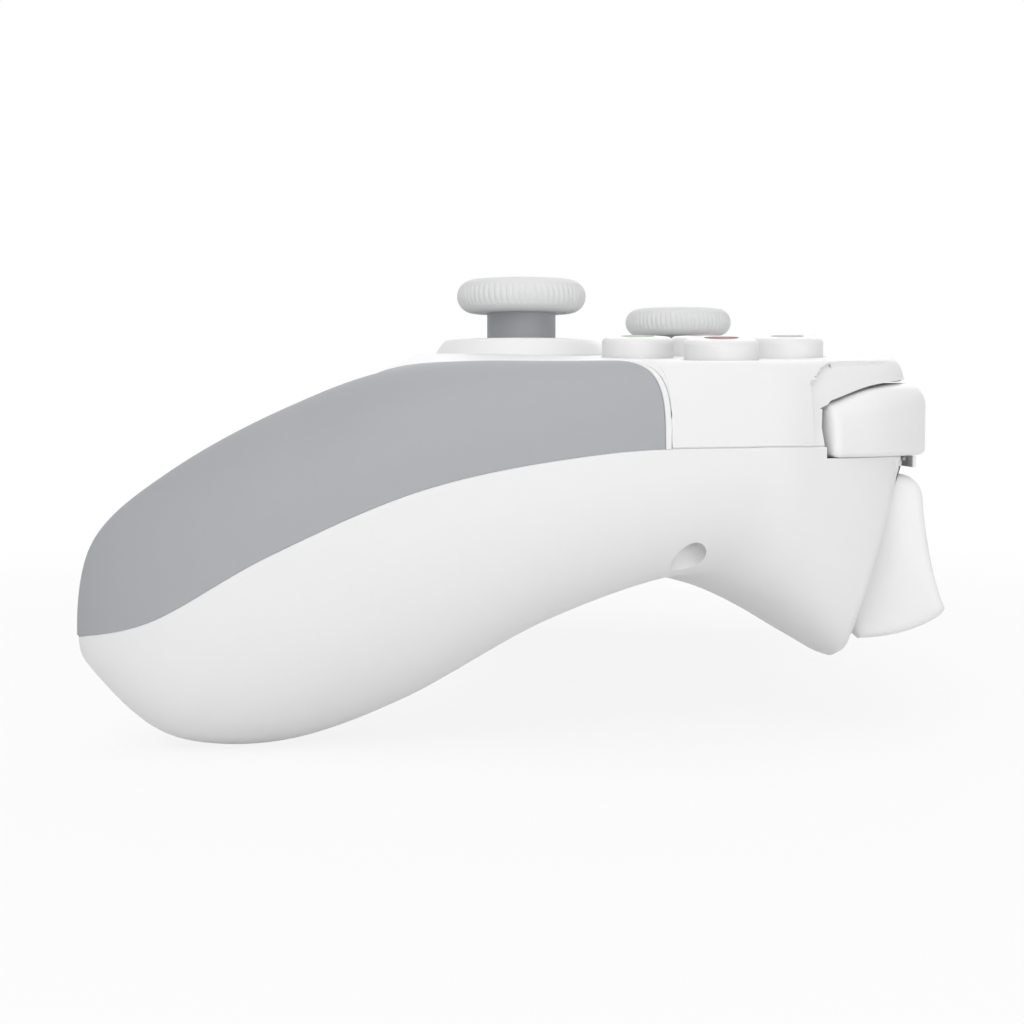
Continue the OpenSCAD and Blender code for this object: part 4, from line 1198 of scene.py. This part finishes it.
class GAMEPAD_OT_bridge(bpy.types.Operator):
    """Makes the plate between the bumpers"""

    bl_idname = "gamepad.bridge"
    bl_label = "Make the front bridge"

    # Thickness of the plate, and place, half width and heights of the tabs behind it
    THICK = 1.4
    TAB_AT, TAB_HALF, TAB_LOW, TAB_HIGH = 10, 2, 40, 41.6

    def execute(self, context):
        low, high = low_high("front_bridge")
        port = middle("usb_socket")
        front = -high.y
        spots = [(low.x, low.z), (high.x, low.z), (high.x, high.z), (low.x, high.z)]
        bm = prism(rounded_path([(x, z, 1.0) for x, z in spots], 6), front, front + self.THICK)
        round_top(bm, front, 0.35, 4)
        bm = cut(bm, move(prism(oval_outline(*PORT_OVAL), front - 5, front + 5), (port.x, port.z, 0)))
        for side in (-1, 1):
            x0, x1 = side * self.TAB_AT - self.TAB_HALF, side * self.TAB_AT + self.TAB_HALF
            outline = [(x0, self.TAB_LOW), (x1, self.TAB_LOW), (x1, self.TAB_HIGH), (x0, self.TAB_HIGH)]
            take_in(bm, prism(outline, front + self.THICK - 0.2, -low.y))
        upright = Matrix(((1, 0, 0, 0), (0, 0, -1, 0), (0, 1, 0, 0), (0, 0, 0, 1)))
        bmesh.ops.transform(bm, matrix=upright, verts=bm.verts)
        finish_piece(normals_out(bm), "front_bridge", MOULDED)
        return {"FINISHED"}


class GAMEPAD_OT_bumpers(bpy.types.Operator):
    """Makes the two bumpers"""

    bl_idname = "gamepad.bumpers"
    bl_label = "Make the bumpers"

    # Place of the pin, and radius and heights of the bore for it
    PIN = (17.4, 47.2)
    BORE = (1.05, 33, 41.3)

    def execute(self, context):
        form = CaseForm(context.scene.gamepad_case)
        rounds = (context.scene.gamepad_shoulders.bumper_round / MM, 0.7, 0.4)
        finish_pair("bumper", lambda: cut(bumper_bar(form, rounds), rod(self.PIN, *self.BORE)))
        return {"FINISHED"}


class GAMEPAD_OT_triggers(bpy.types.Operator):
    """Makes the two triggers"""

    bl_idname = "gamepad.triggers"
    bl_label = "Make the triggers"

    # Radius of the hub round the pin, of the hollow round the spring and of the bore
    HUB, SPRING_ROOM, BORE = 2.8, 2.45, 1.25
    # Width and height of the cut at the inner lower corner of the heel
    HEEL_CUT = (2.8, 1.5)
    # Rings in the rounding of each side
    RINGS = 8

    def execute(self, context):
        sizes = context.scene.gamepad_shoulders
        low, high = low_high("right_trigger")
        pin = middle("right_trigger_pin")
        lip_y, lip_z = high.y, low.z + 3.5
        wall = sizes.trigger_wall / MM
        front = bend((lip_y - 3.2, pin.z + 1.2), (lip_y - 2.3, lip_z + 5.6), (lip_y, lip_z + 0.3), 14)
        base = bend((lip_y, lip_z - 0.2), (lip_y - 4, lip_z - 3.3), (lip_y - 10.9, lip_z - 3.5), 14)
        tip = bend(front[-1], (lip_y + 0.05, lip_z), base[1], 4)
        heel = Vector((lip_y - 12.1, lip_z - 2.2))

        def round_pin(radius, angles):
            return [pin.yz + radius * Vector((math.cos(a), math.sin(a))) for a in map(math.radians, angles)]

        hub = round_pin(self.HUB, range(195, 55, -9))
        brow = bend(hub[-1], front[0] + Vector((0.35, 1.0)), front[2], 8)
        side_view = front[3:-1] + tip + base[2:] + [heel] + hub[:-1] + brow
        hollow = (
            [Vector((pin.y - 0.3, 40))]
            + round_pin(self.SPRING_ROOM, (97, 80, 65, 50, 35))
            + [p - Vector((wall, 0)) for p in front]
            + [p + Vector((0, wall)) for p in base if p.x < lip_y - wall - 0.5]
            + [Vector((30, lip_z - 3.6 + wall)), Vector((30, 40))]
        )
        rounding = sizes.trigger_round / MM
        centre = Vector((lip_y - 7, (pin.z + lip_z) / 2))
        reach = Vector((5.4, (pin.z - lip_z) / 2 + 3))

        def ring(x, inset):
            shrink = Vector((1 - inset / reach.x, 1 - inset / reach.y))
            return [Vector((x, *(centre + (p - centre) * shrink))) for p in side_view]

        shares = [k / (self.RINGS - 1) for k in range(self.RINGS)]
        rings = [ring(low.x + rounding * (1 - t), rounding * round_off(t)) for t in reversed(shares)]
        rings += [ring(high.x - rounding * (1 - t), rounding * round_off(t)) for t in shares]

        def build():
            bm = sleeve(rings)
            width, height = self.HEEL_CUT
            for v in bm.verts:
                if v.co.z < lip_z + 4:
                    inner = clamp((low.x + width - v.co.x) / width)
                    v.co.z += height * inner * ease(clamp((lip_y - 7.5 - v.co.y) / 4))
            inside = along_x(hollow, low.x + wall, high.x - wall)
            bore = rod((0, 0), self.BORE, low.x + 0.6, high.x - 0.6)
            swing(bore, Matrix.Rotation(math.pi / 2, 3, "Y"))
            return cut(bm, inside, move(bore, (0, pin.y, pin.z)))

        finish_pair("trigger", build)
        return {"FINISHED"}


class GAMEPAD_OT_trigger_springs(bpy.types.Operator):
    """Winds the springs round the trigger pins"""

    bl_idname = "gamepad.trigger_springs"
    bl_label = "Wind the trigger springs"

    TURNS = 6
    STEPS = 24 * TURNS

    def execute(self, context):
        wire = context.scene.gamepad_shoulders.wire_diameter / MM / 2
        for side in SIDES:
            node = f"{side}_trigger_spring"
            low, high = low_high(node)
            pin = middle(f"{side}_trigger_pin")
            radius = (high.z - low.z) / 2 - wire
            span = high.x - low.x - 2 * wire
            bm = bmesh.new()
            bmesh.ops.create_circle(bm, cap_ends=True, radius=wire, segments=12)
            swing(bm, Matrix.Rotation(math.pi / 2, 3, "X"))
            move(bm, (low.x + wire, pin.y, pin.z + radius))
            bmesh.ops.spin(
                bm, geom=all_of(bm), cent=(0, pin.y, pin.z), axis=(1, 0, 0), dvec=(span / self.STEPS, 0, 0),
                angle=2 * math.pi * self.TURNS, steps=self.STEPS,
            )
            bmesh.ops.remove_doubles(bm, verts=bm.verts, dist=0.001)
            finish_piece(normals_out(bm), node, 60)
        return {"FINISHED"}


class GAMEPAD_OT_face_buttons(bpy.types.Operator):
    """Makes the four round face buttons"""

    bl_idname = "gamepad.face_buttons"
    bl_label = "Make the face buttons"

    # Radius of the bend that the tops of the buttons follow across the face
    FACE_BEND = 430.0
    # Painted shade: tone of these buttons beside the other keys, which darkens their white into a shaded copy
    # of the key white
    PAINTED_SHADE = 0.95

    def execute(self, context):
        keys = context.scene.gamepad_keys
        colours = context.scene.gamepad_colours
        radius = keys.button_diameter / MM / 2
        # The key white darkened by the painted shade of these buttons
        base = shifted(colours.key, self.PAINTED_SHADE)[:3]
        for way in FACE_WAYS:
            node = f"button_{way}"
            low, high = low_high(node)
            spot = plan_of(node)
            flange = (high.x - low.x) / 2
            top = high.z - 0.35
            corners = [
                (radius - 1.9, top, 1.2), (radius, top - 0.12, keys.button_round / MM),
                (radius, low.z + 7.3, 0), (flange, low.z + 7.2, 0.1),
                (flange, low.z + 6.2, 0.1), (radius, low.z + 6.1, 0), (radius, low.z, 0.2),
            ]
            bm = turned_solid(corners, 96, at=spot, arc=8)
            lean = spot.x / self.FACE_BEND
            for v in bm.verts:
                if v.co.z > low.z + 8.5:
                    v.co.z -= (v.co.x - spot.x) * lean
            dot = keys.dot_diameter / MM / 2 - 0.14
            disc = [(dot, top + 0.07, 0.05), (dot, top - 0.3, 0)]
            take_in(bm, turned_solid(disc, 48, at=spot))
            printed = getattr(colours, f"{way}_dot")
            material = dotted_key(f"key_{way}", base, printed, spot, keys.dot_diameter)
            finish_piece(bm, node, material=material)
        return {"FINISHED"}


class GAMEPAD_OT_direction_pad(bpy.types.Operator):
    """Makes the direction pad"""

    bl_idname = "gamepad.direction_pad"
    bl_label = "Make the direction pad"

    LONG, ARM = 22.4, 7.6
    PLATE_RADIUS = 11.4
    # Height of the arms' foot above the lowest point
    FOOT = 4.4

    def execute(self, context):
        dish = context.scene.gamepad_keys.pad_dish / MM
        low, high = low_high("dpad")
        base = low.z + self.FOOT
        bm = prism(cross_outline(self.LONG, self.ARM, 1.6, 0.9), base - 0.3, high.z)
        round_top(bm, high.z, 0.6, 5)
        for axis in ((1, 0, 0), (0, 1, 0)):
            for k in range(-10, 11):
                cut_at = Vector(axis) * k * 1.06
                bmesh.ops.bisect_plane(bm, geom=all_of(bm), plane_co=cut_at, plane_no=axis, dist=0.0005)
        for v in bm.verts:
            if v.co.z > high.z - 1.5:
                far = math.hypot(v.co.x, v.co.y) / (self.LONG / 2)
                v.co.z -= dish * max(1 - far * far, 0) * clamp((v.co.z - high.z + 1.5) / 1.0)
        plate = [(self.PLATE_RADIUS, base - 0.1, 0.2), (self.PLATE_RADIUS, base - 1.2, 0.2)]
        take_in(bm, turned_solid(plate, 72))
        for stub in quarter_spots(STUB_REACH):
            take_in(bm, turned_solid([(1.8, base - 1, 0), (1.8, low.z, 0.3)], 24, at=stub))
        finish_piece(move(bm, plan_of("dpad")), "dpad", name="Direction_pad")
        return {"FINISHED"}


class GAMEPAD_OT_menu_buttons(bpy.types.Operator):
    """Makes the round and oval buttons in the middle of the face, and the light"""

    bl_idname = "gamepad.menu_buttons"
    bl_label = "Make the menu buttons"

    HOME_FLANGE = 6.3
    MENU_FLANGE = (9.6, 6)
    # Half length and half width of the light's foot
    LIGHT_FOOT = (5, 1.5)

    def execute(self, context):
        low, high = low_high("home_button")
        top, inner, outer = high.z, HOME_RADIUS, self.HOME_FLANGE
        corners = [
            (3.9, top - 0.25, 0.3), (4.3, top, 0.3), (inner, top, 0.5), (inner, low.z + 7.9, 0),
            (outer, low.z + 7.9, 0.1), (outer, low.z + 6.9, 0.1),
            (inner, low.z + 6.9, 0), (inner, low.z, 0.2),
        ]
        finish_piece(turned_solid(corners, 96, at=plan_of("home_button")), "home_button")
        for node in MENU_NODES:
            low, high = low_high(node)
            flange = prism(oval_outline(*self.MENU_FLANGE), high.z - 4.8, high.z - 3.8)
            self.key(node, MENU_OVAL, low.z, (0.55, 5), flange)
        low = low_high("status_light")[0]
        x, y = self.LIGHT_FOOT
        outline = rounded_path([(-x, -y, 0.3), (x, -y, 0.3), (x, y, 0.3), (-x, y, 0.3)])
        self.key("status_light", LIGHT_OVAL, low.z + 0.6, (0.3, 4), prism(outline, low.z, low.z + 1.2))
        return {"FINISHED"}

    def key(self, node, oval, foot, rounding, flange):
        """An oval key with a rounded top and a flange."""
        top = low_high(node)[1].z
        bm = prism(oval_outline(*oval), foot, top)
        round_top(bm, top, *rounding)
        take_in(bm, flange)
        finish_piece(move(bm, plan_of(node)), node)


class GAMEPAD_OT_sticks(bpy.types.Operator):
    """Makes the collars, necks and knurled caps of the thumb sticks"""

    bl_idname = "gamepad.sticks"
    bl_label = "Make the thumb sticks"

    # Inner radius of the collar's lip and radius of the neck's skirt, both about the pivot
    LIP, SKIRT = 9.4, 9.15
    # Share of a cap's half height that the knurls cover
    KNURL_BAND = 0.62

    def execute(self, context):
        sizes = context.scene.gamepad_sticks
        for side in SIDES:
            self.collar(side)
            self.neck(side)
            self.cap(side, sizes)
        return {"FINISHED"}

    def collar(self, side):
        node = f"{side}_stick_collar"
        low, high = low_high(node)
        outer = (high.x - low.x) / 2
        foot = outer - COLLAR_FLANGE
        seat = low.z + COLLAR_FOOT
        top = high.z
        pivot = low_high(f"{side}_stick_post")[0].z + PIVOT_RISE
        lip = math.sqrt(self.LIP ** 2 - (low.z - pivot) ** 2)
        corners = [
            (lip, low.z, 0), (foot, low.z, 0), (foot, seat, 0), (outer, seat, 0), (outer, seat + 0.9, 0.3),
            (11.6, top - 0.7, 0.5), (11.0, top, 0.7), (10.05, top, 0.35), (9.55, top - 0.6, 0.3),
            (lip + 0.6, low.z + 0.7, 0.2), (lip, low.z + 0.35, 0),
        ]
        finish_piece(spun(rounded_path(corners, 5), 128, closed=True, at=plan_of(node)), node)

    def neck(self, side):
        node = f"{side}_stick_post"
        low, high = low_high(node)
        pivot = low.z + PIVOT_RISE
        angles = [math.radians(a) for a in range(36, 56, 2)]
        skirt = [(self.SKIRT * math.sin(a), pivot + self.SKIRT * math.cos(a)) for a in angles]
        path = [(0, high.z), (2, high.z), (2, pivot + 13), (4.95, pivot + 13), (4.95, pivot + 8.4)]
        path += [(5.1, pivot + 7.75)] + skirt + [(skirt[-1][0] - 0.9, skirt[-1][1])]
        path += [(4.6, pivot + 6.7), (3.4, pivot + 6.2), (1.5, pivot + 5.6), (1.5, low.z), (0, low.z)]
        finish_piece(spun(path, 96, at=plan_of(node)), node, name=f"{side.title()}_stick_neck")

    def cap(self, side, sizes):
        node = f"{side}_stick_cap"
        low, high = low_high(node)
        outer = (high.x - low.x) / 2
        r = (high.z - low.z) / 2
        dish = sizes.dish / MM
        ring = outer - r
        path = [(0, high.z - dish)]
        for k in range(1, 13):
            f = k / 12
            path.append((ring * 0.98 * f, high.z - dish * (1 - f * f) - 0.02))
        for k in range(0, 33):
            a = math.radians(90 - 180 * k / 32)
            path.append((ring + r * math.cos(a), low.z + r + r * math.sin(a)))
        path += [(2.2, low.z), (2.0, low.z + 0.2), (2.0, low.z + 2.2), (0, low.z + 2.2)]
        count = sizes.knurl_count
        bm = spun(path, count * 6)
        for v in bm.verts:
            far = math.hypot(v.co.x, v.co.y)
            height = (v.co.z - low.z - r) / r
            band = rising(self.KNURL_BAND - abs(height), 0, 0.16)
            if far > ring and band > 0:
                phase = (math.atan2(v.co.y, v.co.x) / (2 * math.pi) * count + height * 0.22) % 1.0
                groove = ease(clamp(1 - abs(phase - 0.5) / 0.3))
                v.co.xy *= 1 - sizes.knurl_depth / MM * band * groove / far
        finish_piece(move(bm, plan_of(node)), node, 50)


class GAMEPAD_OT_membranes(bpy.types.Operator):
    """Makes the rubber domes under the buttons"""

    bl_idname = "gamepad.membranes"
    bl_label = "Make the membranes"

    WEB = 0.7
    # Two strips under the menu buttons, as lowest and highest x and y
    STRIPS = (((-14, 23.6), (14, 30.4)), ((-3.4, 15.4), (3.4, 40.4)))

    def execute(self, context):
        def centred(node, outline):
            spot = plan_of(node)
            return [[(p[0] + spot.x, p[1] + spot.y) for p in outline]]

        keys = [plan_of(f"button_{way}") for way in FACE_WAYS]
        self.sheet("face_membrane", keys, 4.4, 5.6, centred("face_membrane", cross_outline(26, 6, 0.8, 0.8)))
        arms = [plan_of("dpad") + spot for spot in quarter_spots(STUB_REACH)]
        web = centred("dpad_membrane", cross_outline(24, 8, 1.2, 0.8))
        self.sheet("dpad_membrane", arms, 3.4, 3.9, web, "Pad_membrane")
        menu = [plan_of(n) for n in ("home_button", *MENU_NODES)]
        strips = [[(a[0], a[1]), (b[0], a[1]), (b[0], b[1]), (a[0], b[1])] for a, b in self.STRIPS]
        self.sheet("menu_membrane", menu, 2.6, 3.2, strips)
        return {"FINISHED"}

    def sheet(self, node, spots, foot, pad, outlines, name=None):
        """A thin web with a dome at each spot, of a foot's radius on a flat pad."""
        low, high = low_high(node)
        rise = high.z - low.z
        bm = bmesh.new()
        for outline in outlines:
            web = prism(outline, low.z, low.z + self.WEB)
            round_top(web, low.z + self.WEB, 0.15, 2)
            take_in(bm, web)
        corners = [
            (foot * 0.58, low.z + rise, 0.2), (foot * 0.66, low.z + rise * 0.62, 0.3),
            (foot, low.z + 0.9, 0.5), (pad, low.z + 0.85, 0.1), (pad, low.z, 0),
        ]
        for spot in spots:
            take_in(bm, turned_solid(corners, 40, at=spot))
        finish_piece(bm, node, name=name)


class GAMEPAD_OT_inner_parts(bpy.types.Operator):
    """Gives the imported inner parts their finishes"""

    bl_idname = "gamepad.inner_parts"
    bl_label = "Finish the inner parts"

    def execute(self, context):
        colours = context.scene.gamepad_colours
        for node, shown in frame["nodes"].items():
            material = finish(SLOT_OF[node])
            if node == "usb_socket":
                material = tongued_socket("socket_steel", colours.steel, colours.dark, middle(node))
            shown.data.materials.clear()
            shown.data.materials.append(material)
        return {"FINISHED"}


class GAMEPAD_OT_stage(bpy.types.Operator):
    """Sets the floor, the studio light and the camera"""

    bl_idname = "gamepad.stage"
    bl_label = "Set the stage"

    def execute(self, context):
        scene = context.scene
        self.floor(scene)
        self.world(scene)
        self.lamps(scene)
        self.camera(scene)
        scene.view_settings.view_transform = "Standard"
        return {"FINISHED"}

    def seen(self, tree):
        """1 for rays from the camera or off glossy and clear surfaces."""
        path = tree.nodes.new("ShaderNodeLightPath")
        kinds = ("Is Camera Ray", "Is Glossy Ray", "Is Transmission Ray")
        camera, glossy, clear = [Shade(tree, path.outputs[kind]) for kind in kinds]
        first = camera.sum("MAXIMUM", camera, glossy)
        return first.sum("MAXIMUM", first, clear)

    def floor(self, scene):
        bm = bmesh.new()
        bmesh.ops.create_grid(bm, x_segments=1, y_segments=1, size=6.0)
        made = as_object(bm, "Floor")
        material = bpy.data.materials.new("floor")
        material.use_nodes = True
        tree = material.node_tree
        shader = tree.nodes["Principled BSDF"]
        shader.inputs["Base Color"].default_value = opaque(scene.gamepad_colours.floor)
        shader.inputs["Roughness"].default_value = 0.9
        shader.inputs["Specular IOR Level"].default_value = 0.1
        glow = tree.nodes.new("ShaderNodeEmission")
        glow.inputs["Strength"].default_value = 1.0
        mix = tree.nodes.new("ShaderNodeMixShader")
        place = Shade(tree, tree.nodes.new("ShaderNodeTexCoord").outputs["Object"])
        far = place.node("ShaderNodeVectorMath", {"operation": "LENGTH"}, {0: place}, out=1)
        share = (0.86 + 0.14 * far.band(0.08, 0.3)) * self.seen(tree)
        tree.links.new(share.socket, mix.inputs[0])
        tree.links.new(shader.outputs[0], mix.inputs[1])
        tree.links.new(glow.outputs[0], mix.inputs[2])
        tree.links.new(mix.outputs[0], tree.nodes["Material Output"].inputs[0])
        made.data.materials.append(material)

    def world(self, scene):
        world = bpy.data.worlds.new("Studio")
        scene.world = world
        world.use_nodes = True
        tree = world.node_tree
        back = tree.nodes["Background"]
        back.inputs["Color"].default_value = (1, 1, 1, 1)
        level = 0.41 + 0.59 * self.seen(tree)
        tree.links.new(level.socket, back.inputs["Strength"])

    def lamps(self, scene):
        for name, place, size, power in (
            ("Key", (0.60, -0.15, 0.50), (0.5, 0.5), 1.75),
            ("Side", (0.62, 0.26, 0.085), (0.9, 0.16), 1.08),
            ("Top", (0.0, 0.0, 0.75), (0.7, 0.7), 1.3),
            ("Far", (-0.6, 0.1, 0.45), (0.6, 0.6), 1.2),
        ):
            lamp = bpy.data.lights.new(name, "AREA")
            lamp.shape = "RECTANGLE"
            lamp.size, lamp.size_y = size
            lamp.energy = power
            made = bpy.data.objects.new(name, lamp)
            made.location = place
            made.rotation_euler = (Vector((0, 0, 0.03)) - Vector(place)).to_track_quat("-Z", "Y").to_euler()
            scene.collection.objects.link(made)

    def camera(self, scene):
        camera = bpy.data.cameras.new("Camera")
        camera.sensor_fit = "HORIZONTAL"
        camera.sensor_width = 36.0
        camera.lens = 61.52
        camera.clip_start = 0.01
        camera.clip_end = 20.0
        made = bpy.data.objects.new("Camera", camera)
        made.location = (0.274, -0.00085, 0.0412)
        made.rotation_euler = (math.radians(90 - 3.46), 0, math.radians(90))
        scene.collection.objects.link(made)
        scene.camera = made


class GAMEPAD_PT_panel(bpy.types.Panel):
    """Lists what makes the gamepad"""

    bl_idname = "GAMEPAD_PT_panel"
    bl_label = "Gamepad"
    bl_space_type = "VIEW_3D"
    bl_region_type = "UI"
    bl_category = "Gamepad"

    def draw(self, context):
        for group, owner in GROUPS.items():
            column = self.layout.column()
            for name in owner.__annotations__:
                column.prop(getattr(context.scene, group), name)
        for maker in MAKERS:
            self.layout.operator(maker.bl_idname)


GROUPS = {
    "gamepad_case": GamepadCase,
    "gamepad_sticks": GamepadSticks,
    "gamepad_keys": GamepadKeys,
    "gamepad_shoulders": GamepadShoulders,
    "gamepad_colours": GamepadColours,
}
MAKERS = (
    GAMEPAD_OT_shells,
    GAMEPAD_OT_grips,
    GAMEPAD_OT_bridge,
    GAMEPAD_OT_bumpers,
    GAMEPAD_OT_triggers,
    GAMEPAD_OT_trigger_springs,
    GAMEPAD_OT_face_buttons,
    GAMEPAD_OT_direction_pad,
    GAMEPAD_OT_menu_buttons,
    GAMEPAD_OT_sticks,
    GAMEPAD_OT_membranes,
    GAMEPAD_OT_inner_parts,
    GAMEPAD_OT_stage,
)


def register():
    for group, owner in GROUPS.items():
        bpy.utils.register_class(owner)
        setattr(bpy.types.Scene, group, bpy.props.PointerProperty(type=owner))
    for maker in MAKERS:
        bpy.utils.register_class(maker)
    bpy.utils.register_class(GAMEPAD_PT_panel)


def unregister():
    bpy.utils.unregister_class(GAMEPAD_PT_panel)
    for maker in reversed(MAKERS):
        bpy.utils.unregister_class(maker)
    for group, owner in GROUPS.items():
        delattr(bpy.types.Scene, group)
        bpy.utils.unregister_class(owner)


def main():
    register()
    for maker in MAKERS:
        area, name = maker.bl_idname.split(".")
        getattr(getattr(bpy.ops, area), name)()


if __name__ == "__main__":
    main()
